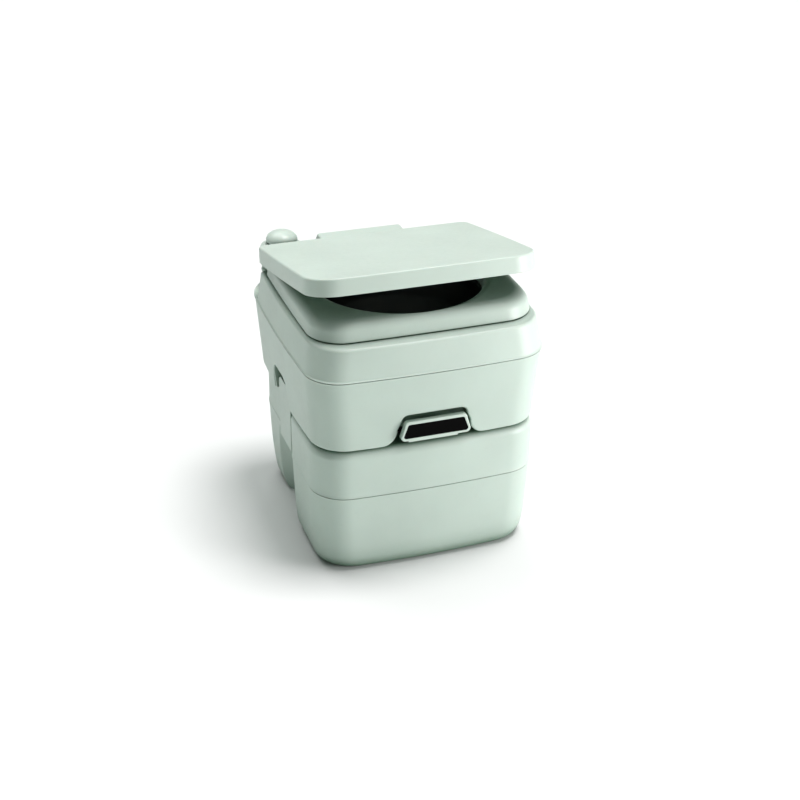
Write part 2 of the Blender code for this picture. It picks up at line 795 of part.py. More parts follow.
def make_hold_top():
    """Upper half of the holding tank, open downwards at the seam."""
    shell = loft("shell", hold_levels(HOLD_UPPER_LEVELS, 0.0))
    rows = [(0.11, *HOLD_UPPER_LEVELS[0][1:])]
    rows += [(z - WALL, *rest) for z, *rest in HOLD_UPPER_LEVELS[2:]]
    shell = carve(shell, loft("hollow", hold_levels(rows, WALL)))
    shell = carve(shell, rod("outlet", (0, VALVE_Y, HOLD_TOP_Z), OUTLET_RADIUS + 0.001, 0.05, segments=32))
    shell = carve(shell, rod("spout", (SPOUT_X, HOLD_BACK_Y, SPOUT_Z), 0.0235, 0.05, "Y", 28))
    shell = carve(shell, rod("vent", (VENT_X, VENT_Y, HOLD_TOP_Z), 0.0052, 0.05, segments=16))
    return finish(shell, "holding_tank_top", "sage")


def hand_scoop(side, wall):
    """Space for a hand under a side of the holding tank, right behind the step."""
    levels = []
    for z, inner, front in SCOOP_LEVELS:
        near, low = inner - wall, front - wall
        points = [(near, low), (0.2, low), (0.2, SCOOP_BACK_Y[1] + wall), (0.155, SCOOP_BACK_Y[1] + wall)]
        points += [(near + 0.004, SCOOP_BACK_Y[0] + 0.010 + wall), (near, SCOOP_BACK_Y[0] + wall)]
        levels.append(([(side * x, y) for x, y in points], z))
    return loft("scoop", levels)


def make_hold_base():
    """Lower half of the holding tank, open upwards, with a hand scoop in either side."""
    shell = loft("shell", hold_levels(HOLD_LOWER_LEVELS, 0.0))
    rows = [(z + WALL, *rest) for z, *rest in HOLD_LOWER_LEVELS[:-1]]
    rows.append((0.135, *HOLD_LOWER_LEVELS[-1][1:]))
    hollow = loft("hollow", hold_levels(rows, WALL))
    for side in (-1, 1):
        hollow = carve(hollow, hand_scoop(side, WALL))
        shell = carve(shell, hand_scoop(side, 0.0))
    shell = carve(shell, hollow)
    return finish(shell, "holding_tank_base", "sage")


def plate_outline(half, front, back, corner):
    """Rounded rectangle in plan for a valve plate."""
    points = arc((half - corner, front + corner), corner, 270, 360, 3)
    points += arc((half - corner, back - corner), corner, 0, 90, 3)
    points += arc((-half + corner, back - corner), corner, 90, 180, 3)
    points += arc((-half + corner, front + corner), corner, 180, 270, 3)
    return points


def make_valve_plate(name, span, rail):
    """Guide plate of the slide valve, with the outlet hole, and side rails if asked."""
    points = plate_outline(PLATE_HALF, PLATE_FRONT_Y, PLATE_BACK_Y, 0.008)
    made = plate(name, points, *span)
    if rail:
        for side in (-1, 1):
            near, far = sorted((side * 0.0490, side * (PLATE_HALF - 0.0005)))
            low, high = span[1] - 0.0005, UPPER_PLATE[0] - GAP
            strip = box("rail", (near, PLATE_FRONT_Y + 0.01, low), (far, PLATE_BACK_Y - 0.01, high))
            made = carve(made, strip, "UNION")
    hole = rod("hole", (0, VALVE_Y, span[0]), OUTLET_RADIUS + 0.001, 0.03, segments=32)
    return finish(carve(made, hole), name, "bowl_grey", smooth=False)


def make_blade():
    """Sliding blade of the valve with the arm that carries the handle."""
    half, arm = 0.0480, 0.0380
    points = arc((half - 0.006, 0.0100), 0.006, 0, 90, 3)
    points += arc((-half + 0.006, 0.0100), 0.006, 90, 180, 3)
    points += [(-half, -0.0860), (-arm, -0.0960), (-arm, BADGE_BACK_Y + 0.004)]
    points += [(arm, BADGE_BACK_Y + 0.004), (arm, -0.0960), (half, -0.0860)]
    blade = plate("blade", points, *BLADE)
    return finish(blade, "valve_blade", "bowl_grey", (0.0, VALVE_Y, BLADE[0]), smooth=False)


def badge_outline(border):
    """Handle's face: wider at the bottom, with rounded corners."""
    low, high = BADGE_Z[0] + border, BADGE_Z[1] - border
    wide, narrow = BADGE_HALF[0] - border, BADGE_HALF[1] - border
    corner = 0.0060 - border * 0.6
    points = arc((wide - corner, low + corner), corner, 270, 360, 4)
    points += arc((narrow - corner, high - corner), corner, 0, 90, 4)
    points += arc((-narrow + corner, high - corner), corner, 90, 180, 4)
    points += arc((-wide + corner, low + corner), corner, 180, 270, 4)
    return points


def make_handle():
    """Pull handle of the slide valve, with a seat for its black plate."""
    body = plate("handle", badge_outline(0.0), BADGE_FRONT_Y, BADGE_BACK_Y, "XZ")
    body = carve(body, plate("seat", badge_outline(0.0038), -0.25, BADGE_FRONT_Y + 0.0018, "XZ"))
    foot = box("foot", (-0.0380, BADGE_BACK_Y - 0.0010, BLADE[0]), (0.0380, BADGE_BACK_Y + 0.0034, 0.2120))
    body = carve(body, foot, "UNION")
    return finish(body, "valve_handle", "sage_light", (0.0, VALVE_Y, BLADE[0]))


def make_badge():
    """Plain black plate on the handle."""
    body = plate("badge", badge_outline(0.0042), BADGE_FRONT_Y + 0.0004, BADGE_FRONT_Y + 0.0014, "XZ")
    return finish(body, "handle_plate", "black", (0.0, VALVE_Y, BLADE[0]), smooth=False)


def make_valve_screws():
    """Screws that hold the valve on the holding tank."""
    for name, x, y in (
        ("front_left", -0.0460, -0.143),
        ("front_right", 0.0460, -0.143),
        ("back_left", -0.0460, 0.023),
        ("back_right", 0.0460, 0.023),
    ):
        head = rod("head", (x, y, UPPER_PLATE[1] + 0.0012), 0.0030, 0.0016, segments=12)
        finish(head, "valve_screw_" + name, "steel")


# --- Latches -----------------------------------------------------------------------------


def make_latch(side, name):
    """Side latch: an upright plate, hinged at its foot, that hooks over the keeper."""
    near, far = LATCH_X
    corner = 0.012
    low, high = LATCH_Z
    points = [(LATCH_Y[0], low), (LATCH_Y[1], low)]
    points += arc((LATCH_Y[1] - corner, high - corner), corner, 0, 90, 4)
    points += arc((LATCH_Y[0] + corner, high - corner), corner, 90, 180, 4)
    span = sorted((side * near, side * far))
    body = plate("latch", points, *span, "YZ")
    tooth_x = sorted((side * 0.1505, side * (near + 0.001)))
    tooth = box("tooth", (tooth_x[0], -0.020, 0.2075), (tooth_x[1], 0.008, 0.2120))
    body = carve(body, tooth, "UNION")
    pivot = (side * LATCH_PIVOT[0], sum(LATCH_Y) / 2, LATCH_PIVOT[1])
    body = carve(body, rod("bore", pivot, 0.0021, 0.1, "Y", 12))
    return finish(body, name, "sage", pivot)


def make_latch_pin(side, name):
    """Pivot pin of a side latch."""
    middle = (side * LATCH_PIVOT[0], sum(LATCH_Y) / 2, LATCH_PIVOT[1])
    return finish(rod(name, middle, 0.0018, LATCH_Y[1] - LATCH_Y[0] - 0.002, "Y", 12), name, "steel")


# --- Spout and vent ----------------------------------------------------------------------


def turn_to_back(made, x, z):
    """Lay a body that was turned about +Z so that its axis points to the back."""
    made.data.transform(Matrix.Translation((x, 0.0, z)) @ Matrix.Rotation(-math.pi / 2, 4, "X"))
    return made


def make_spout():
    """Pouring neck of the holding tank."""
    face = HOLD_BACK_Y
    profile = [
        (0.0225, face + 0.0115),
        (0.0225, face - 0.0080),
        (0.0195, face - 0.0080),
        (0.0195, face + 0.0115),
    ]
    made = turn_to_back(turned("spout", profile, segments=28, closed=True), SPOUT_X, SPOUT_Z)
    return finish(made, "spout", "sage")


def make_spout_cap():
    """Cap of the pouring neck, with a ribbed edge."""
    face = HOLD_BACK_Y
    profile = [
        (0.0, face + 0.0190),
        (0.0255, face + 0.0190),
        (0.0275, face + 0.0170),
        (0.0275, face + 0.0030),
        (0.0235, face + 0.0030),
        (0.0235, face + 0.0145),
        (0.0, face + 0.0145),
    ]
    cap = turn_to_back(turned("cap", profile, segments=32), SPOUT_X, SPOUT_Z)
    low = (SPOUT_X - 0.0200, face + 0.0180, SPOUT_Z - 0.0032)
    high = (SPOUT_X + 0.0200, face + 0.0235, SPOUT_Z + 0.0032)
    cap = carve(cap, box("grip", low, high, 0.001), "UNION")
    return finish(cap, "spout_cap", "black", (SPOUT_X, face, SPOUT_Z))


def make_spout_gasket():
    """Sealing ring between the pouring neck and its cap."""
    face = HOLD_BACK_Y
    profile = [
        (0.0222, face + 0.0141),
        (0.0222, face + 0.0119),
        (0.0198, face + 0.0119),
        (0.0198, face + 0.0141),
    ]
    made = turn_to_back(turned("gasket", profile, segments=28, closed=True), SPOUT_X, SPOUT_Z)
    return finish(made, "spout_gasket", "rubber")


def make_vent_guide():
    """Guide of the air release valve in the holding tank's deck."""
    profile = [
        (0.0085, HOLD_TOP_Z + 0.0012),
        (0.0085, HOLD_TOP_Z + GAP),
        (0.0048, HOLD_TOP_Z + GAP),
        (0.0048, HOLD_TOP_Z - 0.0100),
        (0.0030, HOLD_TOP_Z - 0.0100),
        (0.0030, HOLD_TOP_Z + 0.0012),
    ]
    return finish(turned("vent", profile, (VENT_X, VENT_Y), 20, True), "vent_guide", "bowl_grey")


def make_vent_pin():
    """Sprung pin that the flush tank's floor presses to let air in."""
    low = HOLD_TOP_Z - 0.0130
    profile = [(0.0, HOLD_TOP_Z + 0.0017), (0.0022, HOLD_TOP_Z + 0.0013), (0.0022, low), (0.0, low)]
    return finish(turned("pin", profile, (VENT_X, VENT_Y), 16), "vent_pin", "black")


def build():
    """Make every sub-part."""
    make_flush_top()
    make_flush_base()
    make_bowl()
    make_seat()
    make_lid()
    make_hinge_pin(-1, "hinge_pin_left")
    make_hinge_pin(1, "hinge_pin_right")
    make_seat_bumpers()
    make_hinge_cover()
    make_bellows()
    make_knob()
    make_stem()
    make_pump_base()
    make_intake()
    make_flush_tube()
    make_nozzle()
    make_filler_cap()
    filler = (FILLER_X, FILLER_Y)
    ring("filler_gasket", "rubber", filler, 0.0240, 0.0190, DECK_Z + 0.0003, DECK_Z + 0.0019)
    make_hold_top()
    make_hold_base()
    make_valve_plate("valve_plate_lower", LOWER_PLATE, True)
    make_valve_plate("valve_plate_upper", UPPER_PLATE, False)
    make_blade()
    make_handle()
    make_badge()
    ring("valve_seal", "rubber", (0.0, VALVE_Y), OUTLET_RADIUS + 0.006, OUTLET_RADIUS, *SEAL)
    make_valve_screws()
    make_latch(-1, "latch_left")
    make_latch(1, "latch_right")
    make_latch_pin(-1, "latch_pin_left")
    make_latch_pin(1, "latch_pin_right")
    make_spout()
    make_spout_cap()
    make_spout_gasket()
    make_vent_guide()
    make_vent_pin()


build()
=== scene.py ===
"""Looks of the portable camp toilet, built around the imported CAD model.

The fine surfaces repeat the design's outlines at high resolution, with rounded edges, seams,
ribs and fillets. Metres, in the CAD model's frame: +Z up, -Y to the front.
"""

import json
import math
from operator import mul

import bmesh
import bpy
from mathutils import Matrix, Vector


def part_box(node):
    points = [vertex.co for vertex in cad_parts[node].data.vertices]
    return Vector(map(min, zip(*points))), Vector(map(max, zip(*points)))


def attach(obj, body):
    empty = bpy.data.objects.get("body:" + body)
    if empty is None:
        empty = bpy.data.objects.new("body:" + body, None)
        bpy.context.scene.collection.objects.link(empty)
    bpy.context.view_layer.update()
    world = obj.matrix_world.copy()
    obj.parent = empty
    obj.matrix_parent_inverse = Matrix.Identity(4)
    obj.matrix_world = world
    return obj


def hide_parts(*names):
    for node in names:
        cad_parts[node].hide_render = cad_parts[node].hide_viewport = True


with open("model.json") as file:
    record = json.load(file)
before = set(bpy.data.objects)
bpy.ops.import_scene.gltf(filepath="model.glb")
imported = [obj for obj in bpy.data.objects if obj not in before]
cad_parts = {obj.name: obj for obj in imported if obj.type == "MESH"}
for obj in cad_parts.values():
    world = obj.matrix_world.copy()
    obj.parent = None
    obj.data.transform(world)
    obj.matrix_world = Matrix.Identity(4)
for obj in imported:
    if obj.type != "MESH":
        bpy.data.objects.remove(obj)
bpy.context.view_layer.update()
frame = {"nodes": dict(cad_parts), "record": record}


def middle(low, high):
    """Middle of a box, from two opposite corners."""
    return tuple((a + b) / 2 for a, b in zip(low, high))


# --- Driving dimensions, read from the frame where it holds them ------

TANK_LOW, TANK_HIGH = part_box("flush_tank_base")
HOLD_LOW, HOLD_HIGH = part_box("holding_tank_top")

WALL = 0.0035
GAP = 0.0004
SIDE_BOW = 0.0036
HALF_WIDTH = TANK_HIGH.x - SIDE_BOW
FRONT_Y = TANK_LOW.y + SIDE_BOW
BACK_Y = TANK_HIGH.y
FRONT_RADIUS = 0.052
BACK_RADIUS = 0.082
FLUSH_FLOOR_Z = TANK_LOW.z
FLUSH_SEAM_Z = TANK_HIGH.z
DECK_Z = 0.350

HOLD_HALF = HOLD_HIGH.x
HOLD_REAR_HALF = 0.153
HOLD_FRONT_Y = HOLD_LOW.y + SIDE_BOW
HOLD_BACK_Y = HOLD_HIGH.y
HOLD_STEP_Y = -0.040
HOLD_BACK_RADIUS = 0.045
HOLD_TOP_Z = HOLD_HIGH.z
HOLD_SEAM_Z = HOLD_LOW.z

BOWL_Y = -0.0307
BOWL_RADIUS = 0.118
BOWL_RIM_RADIUS = 0.129
OUTLET_RADIUS = 0.037

HINGE_Y, HINGE_Z = middle(*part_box("hinge_pin_left"))[1:]
HINGE_BORE = 0.0028
LUG_HALF = 0.004
EAR_X = 0.0645
SEAT_LUG_X = 0.0550
LID_LUG_X = 0.0740
LID_AJAR = math.radians(12.0)
LID_HALF = 0.1640
LID_FRONT_Y = -0.169
LID_BACK_Y = 0.1295
LID_TOP_Z = 0.3821
LID_SKIRT_Z = 0.3583
LID_WALL = 0.0025
LID_ROUNDING = 0.0028
SEAT_HALF = 0.160
SEAT_FRONT_Y = -0.1672
SEAT_BACK_Y = 0.106
SEAT_BASE_Z = 0.3515
SEAT_SHOULDER_Z = 0.3622
SEAT_TOP_Z = 0.3785
OPENING_RADIUS = 0.1195
OPENING_ROLL = (0.0140, 0.0105)

KNOB_LOW, KNOB_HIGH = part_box("pump_knob")
BELLOWS_LOW, BELLOWS_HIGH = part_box("pump_bellows")
PUMP_X, PUMP_Y = middle(KNOB_LOW, KNOB_HIGH)[:2]
PUMP_FLOOR_Z = 0.3065
BELLOWS_RADIUS = (BELLOWS_HIGH.x - BELLOWS_LOW.x) / 2
BELLOWS_PLEATS = 6

FILLER_X, FILLER_Y = middle(*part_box("filler_cap"))[:2]

CUT_FOOT_Z = 0.18
TUNNEL_HALF = 0.062
TUNNEL_TOP_Z = 0.2140
POCKET_BACK_Y = -0.166
POCKET_TOP_Z = 0.2415
POCKET_HALF = (0.0520, 0.0468)
POCKET_SWEEP = 0.026
POCKET_FILLET = 0.0036
HANDLE_LOW, HANDLE_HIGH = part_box("valve_handle")
BADGE_FRONT_Y = HANDLE_LOW.y
BADGE_BACK_Y = BADGE_FRONT_Y + 0.0090
BADGE_Z = (0.2062, 0.2352)
BADGE_HALF = (0.0505, 0.0455)

LATCH_Y = (-0.037, 0.022)
LATCH_Z = (0.1252, 0.2235)
LATCH_X = (0.1553, 0.1638)
LATCH_CORNER = 0.012
ARCH_Y = (-0.0395, 0.0345)
ARCH_TOP_Z = 0.2405
ARCH_CORNER = 0.020
ARCH_DEPTH_X = 0.140
ARCH_FILLET = 0.0022

SPOUT_X, _, SPOUT_Z = middle(*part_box("spout_cap"))

CREASE = math.radians(38)

# --- Materials --------------------------------------------------------


class Nodes:
    """Material whose shader nodes are added and joined in a short way."""

    def __init__(self, name):
        """Make a material of the given name, with no nodes yet."""
        self.material = bpy.data.materials.new(name)
        self.material.use_nodes = True
        self.tree = self.material.node_tree
        self.tree.nodes.clear()

    def add(self, kind, inputs=None, **settings):
        """Add a node. Each of its inputs gets a plain value or another node's output."""
        node = self.tree.nodes.new(kind)
        for name, value in settings.items():
            setattr(node, name, value)
        for name, value in (inputs or {}).items():
            if isinstance(value, bpy.types.NodeSocket):
                self.tree.links.new(value, node.inputs[name])
            else:
                node.inputs[name].default_value = value
        return node

    def place(self):
        """Place on the object."""
        return self.add("ShaderNodeTexCoord").outputs["Object"]

    def noise(self, place, scale, detail=3.0, roughness=0.5):
        """Cloudy pattern of the given scale."""
        inputs = {"Scale": scale, "Detail": detail, "Roughness": roughness, "Vector": place}
        return self.add("ShaderNodeTexNoise", inputs).outputs["Fac"]

    def ramp(self, value, low, high, start, end):
        """Map a value from low..high to start..end, clamped."""
        inputs = {"Value": value, "From Min": low, "From Max": high, "To Min": start, "To Max": end}
        return self.add("ShaderNodeMapRange", inputs).outputs["Result"]

    def mix(self, factor, *colours):
        """Mix two colours, each a socket or a plain colour."""
        first, second = [(*c, 1.0) if isinstance(c, tuple) else c for c in colours]
        inputs = {0: factor, 6: first, 7: second}
        return self.add("ShaderNodeMix", inputs, data_type="RGBA").outputs[2]

    def bump(self, height, distance, strength, **more):
        """Surface normal, raised and lowered by a height."""
        inputs = {"Strength": strength, "Distance": distance, "Height": height, **more}
        return self.add("ShaderNodeBump", inputs).outputs["Normal"]

    def output(self, shader):
        """Send a shader to the material's output."""
        self.add("ShaderNodeOutputMaterial", {"Surface": shader.outputs["BSDF"]})


def tinted(colour, factor):
    """A colour made lighter or darker."""
    return tuple(min(1.0, part * factor) for part in colour)


MOTTLE = 0.035
# Reach and colour of the painted shade that darkens sheltered corners, gaps and recesses.
PAINTED_SHADE_REACH = 0.080
PAINTED_SHADE_TINT = (0.10, 0.22, 0.13)


def plastic(name, colour, roughness, grain=0.10, mottle=MOTTLE, wear_and_crease_shade=0.10, metallic=0.0, **fixed):
    """Moulded plastic, rubber or metal: mottled, grained, with pale worn edges, painted shade darkening
    creases and painted shade in sheltered corners and gaps.
    """
    nodes = Nodes(name)
    place = nodes.place()
    clouds = nodes.noise(place, 9.0, 4.0)
    flecks = nodes.noise(place, 160.0, 3.0, 0.6)
    skin = nodes.noise(place, 1500.0, 2.0, 0.55)
    waves = nodes.noise(place, 34.0, 2.0)

    base = nodes.mix(
        nodes.ramp(clouds, 0.35, 0.65, 0.0, 1.0),
        tinted(colour, 1.0 - mottle),
        tinted(colour, 1.0 + mottle),
    )
    fleck_share = nodes.ramp(flecks, 0.60, 0.80, 0.0, 0.35 * mottle / MOTTLE)
    base = nodes.mix(fleck_share, base, tinted(colour, 0.90))
    edges = nodes.add("ShaderNodeNewGeometry").outputs["Pointiness"]
    worn = nodes.ramp(edges, 0.515, 0.57, 0.0, wear_and_crease_shade)
    base = nodes.mix(worn, base, tuple(0.5 + 0.5 * part for part in colour))
    # Painted shade: concave creases are darkened by their curvature.
    crease_shade = nodes.ramp(edges, 0.485, 0.43, 0.0, 0.6 * wear_and_crease_shade)
    base = nodes.mix(crease_shade, base, tinted(colour, 0.6))
    # Painted shade: ambient occlusion darkens the colour towards a greener shade in gaps, recesses and
    # corners.
    ambient_occlusion = nodes.add("ShaderNodeAmbientOcclusion", {"Distance": PAINTED_SHADE_REACH}, samples=6)
    painted_shade_share = nodes.ramp(ambient_occlusion.outputs["AO"], 0.68, 0.22, 0.0, 0.92)
    base = nodes.mix(painted_shade_share, base, tuple(part * share for part, share in zip(colour, PAINTED_SHADE_TINT)))

    rough = nodes.ramp(flecks, 0.30, 0.70, roughness - 0.045, roughness + 0.045)
    coarse = nodes.bump(waves, 0.0008, grain)
    fine = nodes.bump(skin, 0.00012, grain, Normal=coarse)
    inputs = {"Base Color": base, "Roughness": rough, "Metallic": metallic, "Normal": fine}
    inputs.update({socket.replace("_", " "): value for socket, value in fixed.items()})
    nodes.output(nodes.add("ShaderNodeBsdfPrincipled", inputs))
    return nodes.material


SAGE = (0.455, 0.560, 0.495)
SAGE_LID = (0.470, 0.575, 0.508)
SOFT_SHINE = {"Subsurface_Weight": 0.04, "Subsurface_Scale": 0.004, "Specular_IOR_Level": 0.42}

MATERIALS = {
    "tank": plastic("sage_tank_plastic", SAGE, 0.44, **SOFT_SHINE),
    "seat": plastic("sage_seat_plastic", tinted(SAGE, 0.985), 0.41, 0.07, **SOFT_SHINE),
    "lid": plastic("sage_lid_plastic", SAGE_LID, 0.42, 0.08, **SOFT_SHINE),
    "knob": plastic("sage_knob_plastic", tinted(SAGE_LID, 1.03), 0.36, 0.06, **SOFT_SHINE),
    "bellows": plastic("sage_bellows_rubber", tinted(SAGE, 0.93), 0.62, 0.16, 0.05, 0.16),
    # Painted shade: the bowl is coloured near-black for the deep shadow inside it; the real bowl is the
    # same plastic as the tank.
    "bowl": plastic("painted_shade_bowl_plastic", (0.012, 0.014, 0.013), 0.34, 0.05, 0.10, 0.03),
    "inner": plastic("milky_tube_plastic", (0.62, 0.66, 0.61), 0.38, 0.10, Transmission_Weight=0.25),
    "rubber": plastic("black_seal_rubber", (0.018, 0.018, 0.018), 0.72, 0.25, 0.12, 0.05),
    "valve": plastic("charcoal_valve_plastic", (0.028, 0.032, 0.030), 0.46, 0.14, 0.10, 0.06),
    "plate": plastic(
        "black_plate_plastic", (0.002, 0.002, 0.002), 0.45, 0.02, 0.10, 0.0, Specular_IOR_Level=0.02
    ),
    "steel": plastic("bright_steel", (0.58, 0.58, 0.59), 0.28, 0.08, 0.04, 0.10, 1.0),
}

# --- Mesh helpers -----------------------------------------------------


def add_object(name, mesh):
    """Put a mesh in the scene as an object."""
    made = bpy.data.objects.new(name, mesh)
    bpy.context.scene.collection.objects.link(made)
    return made


def add_bmesh(name, bm):
    """Turn a bmesh into an object with its faces pointing out."""
    bm.normal_update()
    bmesh.ops.recalc_face_normals(bm, faces=bm.faces)
    mesh = bpy.data.meshes.new(name)
    bm.to_mesh(mesh)
    bm.free()
    return add_object(name, mesh)


def bake(made):
    """Replace an object by the mesh that its modifiers give."""
    evaluated = made.evaluated_get(bpy.context.evaluated_depsgraph_get())
    mesh = bpy.data.meshes.new_from_object(evaluated)
    name = made.name
    bpy.data.objects.remove(made, do_unlink=True)
    return add_object(name, mesh)


def carve(target, tool, operation="DIFFERENCE"):
    """Cut a target with a tool, or join them, and drop the tool."""
    step = target.modifiers.new("carve", "BOOLEAN")
    step.operation = operation
    step.solver = "EXACT"
    step.object = tool
    bpy.context.view_layer.update()
    made = bake(target)
    bpy.data.objects.remove(tool, do_unlink=True)
    return made


def soften(made, width, segments, angle):
    """Round the edges that are sharper than an angle in degrees."""
    step = made.modifiers.new("soft_edges", "BEVEL")
    step.width = width
    step.segments = segments
    step.limit_method = "ANGLE"
    step.angle_limit = math.radians(angle)


def rounded(made, width):
    """Round the sharp edges of a piece for good."""
    soften(made, width, 3, 40)
    bpy.context.view_layer.update()
    return bake(made)


def present(made, name, slot, body, *nodes):
    """Finish a piece: name, material, smooth shading, the body it rides on and what it replaces."""
    made.name = name
    made.data.name = name
    bm = bmesh.new()
    bm.from_mesh(made.data)
    bmesh.ops.remove_doubles(bm, verts=bm.verts, dist=0.000005)
    bmesh.ops.dissolve_degenerate(bm, edges=bm.edges, dist=0.000005)
    bm.to_mesh(made.data)
    bm.free()
    made.data.materials.clear()
    made.data.materials.append(MATERIALS[slot])
    made.data.shade_smooth()
    made.data.set_sharp_from_angle(angle=CREASE)
    weigh = made.modifiers.new("normals", "WEIGHTED_NORMAL")
    weigh.keep_sharp = True
    weigh.weight = 60
    bpy.context.view_layer.update()
    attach(made, body)
    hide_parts(*nodes)
    return made


def arc(centre, radius, start, end, steps):
    """Points on an arc, both ends included, in degrees."""
    angles = [math.radians(start + (end - start) * k / steps) for k in range(steps + 1)]
    return [(centre[0] + radius * math.cos(a), centre[1] + radius * math.sin(a)) for a in angles]


def bowed(first, second, bulge, steps):
    """Points strictly between two corners, bulging to the right of the way along."""
    dx, dy = second[0] - first[0], second[1] - first[1]
    length = math.hypot(dx, dy)
    points = []
    for k in range(1, steps):
        t = k / steps
        out = 4.0 * bulge * t * (1.0 - t)
        points.append((first[0] + dx * t + dy / length * out, first[1] + dy * t - dx / length * out))
    return points


def tank_outline(half, front, back, front_radius, back_radius, bow=SIDE_BOW, fine=1):
    """Rounded rectangle in plan, anticlockwise, with its front and sides slightly bowed."""
    f, b = front_radius, back_radius
    turn, run = 14 * fine, 24 * fine
    left_front = arc((-half + f, front + f), f, 180, 270, turn)
    right_front = arc((half - f, front + f), f, 270, 360, turn)
    right_back = arc((half - b, back - b), b, 0, 90, turn)
    left_back = arc((-half + b, back - b), b, 90, 180, turn)
    points = left_front + bowed(left_front[-1], right_front[0], bow, run)
    points += right_front + bowed(right_front[-1], right_back[0], bow, run)
    points += right_back + bowed(right_back[-1], left_back[0], 0.0, run // 2)
    points += left_back + bowed(left_back[-1], left_front[0], bow, run)
    return points


def stepped_outline(half, rear_half, front, back, inset=0.0):
    """Holding tank in plan: full width in front of the step, set in behind it."""
    f, b, s = FRONT_RADIUS - inset / 2, HOLD_BACK_RADIUS - inset / 2, 0.005
    step = HOLD_STEP_Y - inset
    right_front = arc((half - f, front + f), f, 270, 360, 14)
    right_step = arc((half - s, step - s), s, 0, 90, 6)
    right_inner = arc((rear_half + s, step + s), s, 270, 180, 6)
    right_back = arc((rear_half - b, back - b), b, 0, 90, 12)
    right = right_front + bowed(right_front[-1], right_step[0], 0.0, 10) + right_step
    right += right_inner + bowed(right_inner[-1], right_back[0], 0.0, 18) + right_back
    left = [(-x, y) for x, y in reversed(right)]
    return right + bowed(right[-1], left[0], 0.0, 20) + left + bowed(left[-1], right[0], SIDE_BOW, 28)


def skinned(rings):
    """Closed skin over rings of equal point count, first to last."""
    bm = bmesh.new()
    made = [[bm.verts.new(point) for point in ring] for ring in rings]
    for low, high in zip(made, made[1:]):
        for k in range(len(low)):
            n = (k + 1) % len(low)
            bm.faces.new((low[k], low[n], high[n], high[k]))
    bm.faces.new(reversed(made[0]))
    bm.faces.new(made[-1])
    return bm


def loft(name, levels):
    """Closed body through outlines of equal point count, given as (points, z), bottom first."""
    return add_bmesh(name, skinned([[(x, y, z) for x, y in points] for points, z in levels]))


def refined(rows, step=0.009):
    """Add rows between rows that lie far apart, in proportion. The first number is the height."""
    made = [rows[0]]
    for low, high in zip(rows, rows[1:]):
        count = max(1, math.ceil((high[0] - low[0]) / step))
        for k in range(1, count + 1):
            made.append(tuple(a + (b - a) * k / count for a, b in zip(low, high)))
    return made


def quarter(inset_from, z_from, inset_to, z_to, steps, flat_first):
    """Rows (z, inset) on a quarter ellipse between a wall and a flat, ends included."""
    rows = []
    for k in range(steps + 1):
        angle = math.pi / 2 * k / steps
        if flat_first:
            share, rise = math.sin(angle), 1 - math.cos(angle)
        else:
            share, rise = 1 - math.cos(angle), math.sin(angle)
        rows.append((z_from + (z_to - z_from) * rise, inset_from + (inset_to - inset_from) * share))
    return rows


def box(name, low, high):
    """Box between two corners, for cutting or joining."""
    bm = bmesh.new()
    bmesh.ops.create_cube(bm, size=1.0)
    bmesh.ops.scale(bm, vec=[h - l for l, h in zip(low, high)], verts=bm.verts)
    bmesh.ops.translate(bm, vec=[(h + l) / 2 for l, h in zip(low, high)], verts=bm.verts)
    return add_bmesh(name, bm)


def rod(name, centre, radius, length, axis="Z", segments=64):
    """Cylinder along an axis, about its middle, for cutting or joining."""
    bm = bmesh.new()
    bmesh.ops.create_cone(
        bm, cap_ends=True, segments=segments, radius1=radius, radius2=radius, depth=length
    )
    turns = {"X": Matrix.Rotation(math.pi / 2, 4, "Y"), "Y": Matrix.Rotation(-math.pi / 2, 4, "X")}
    if axis in turns:
        bm.transform(turns[axis])
    bm.transform(Matrix.Translation(centre))
    return add_bmesh(name, bm)


TURNS = {
    "XY": Matrix.Identity(4),
    "XZ": Matrix(((1, 0, 0, 0), (0, 0, 1, 0), (0, 1, 0, 0), (0, 0, 0, 1))),
    "YZ": Matrix(((0, 0, 1, 0), (1, 0, 0, 0), (0, 1, 0, 0), (0, 0, 0, 1))),
}


def plate(name, points, low, high, plane="XY", bevel=0.0, steps=4):
    """Flat outline of the given thickness across its plane, with both rims rounded."""
    centre = [sum(axis) / len(points) for axis in zip(*points)]
    rows = [(low, 0.0), (high, 0.0)]
    if bevel:
        rows = []
        for k in range(steps + 1):
            angle = math.pi / 2 * k / steps
            rows.append((low + bevel * (1 - math.cos(angle)), bevel * (1 - math.sin(angle))))
        rows += [(low + high - level, inset) for level, inset in reversed(rows)]
    half = [max(abs(p[i] - centre[i]) for p in points) for i in (0, 1)]
    rings = []
    for level, inset in rows:
        scale = [1.0 - inset / h for h in half]
        rings.append([
            (centre[0] + (a - centre[0]) * scale[0], centre[1] + (b - centre[1]) * scale[1], level)
            for a, b in points
        ])
    bm = skinned(rings)
    bm.transform(TURNS[plane])
    return add_bmesh(name, bm)


def turned(name, profile, centre=(0.0, 0.0), segments=96, closed=False):
    """Turned body on a vertical axis, from a profile in (radius, z)."""
    bm = bmesh.new()
    rings = []
    for radius, z in profile:
        if radius < 1e-7:
            rings.append([bm.verts.new((centre[0], centre[1], z))])
            continue
        ring = []
        for k in range(segments):
            angle = 2 * math.pi * k / segments
            x, y = centre[0] + radius * math.cos(angle), centre[1] + radius * math.sin(angle)
            ring.append(bm.verts.new((x, y, z)))
        rings.append(ring)
    pairs = list(zip(rings, rings[1:]))
    if closed:
        pairs.append((rings[-1], rings[0]))
    for first, second in pairs:
        for k in range(segments):
            n = (k + 1) % segments
            if len(first) == 1:
                bm.faces.new((first[0], second[k], second[n]))
            elif len(second) == 1:
                bm.faces.new((first[k], first[n], second[0]))
            else:
                bm.faces.new((first[k], first[n], second[n], second[k]))
    return add_bmesh(name, bm)


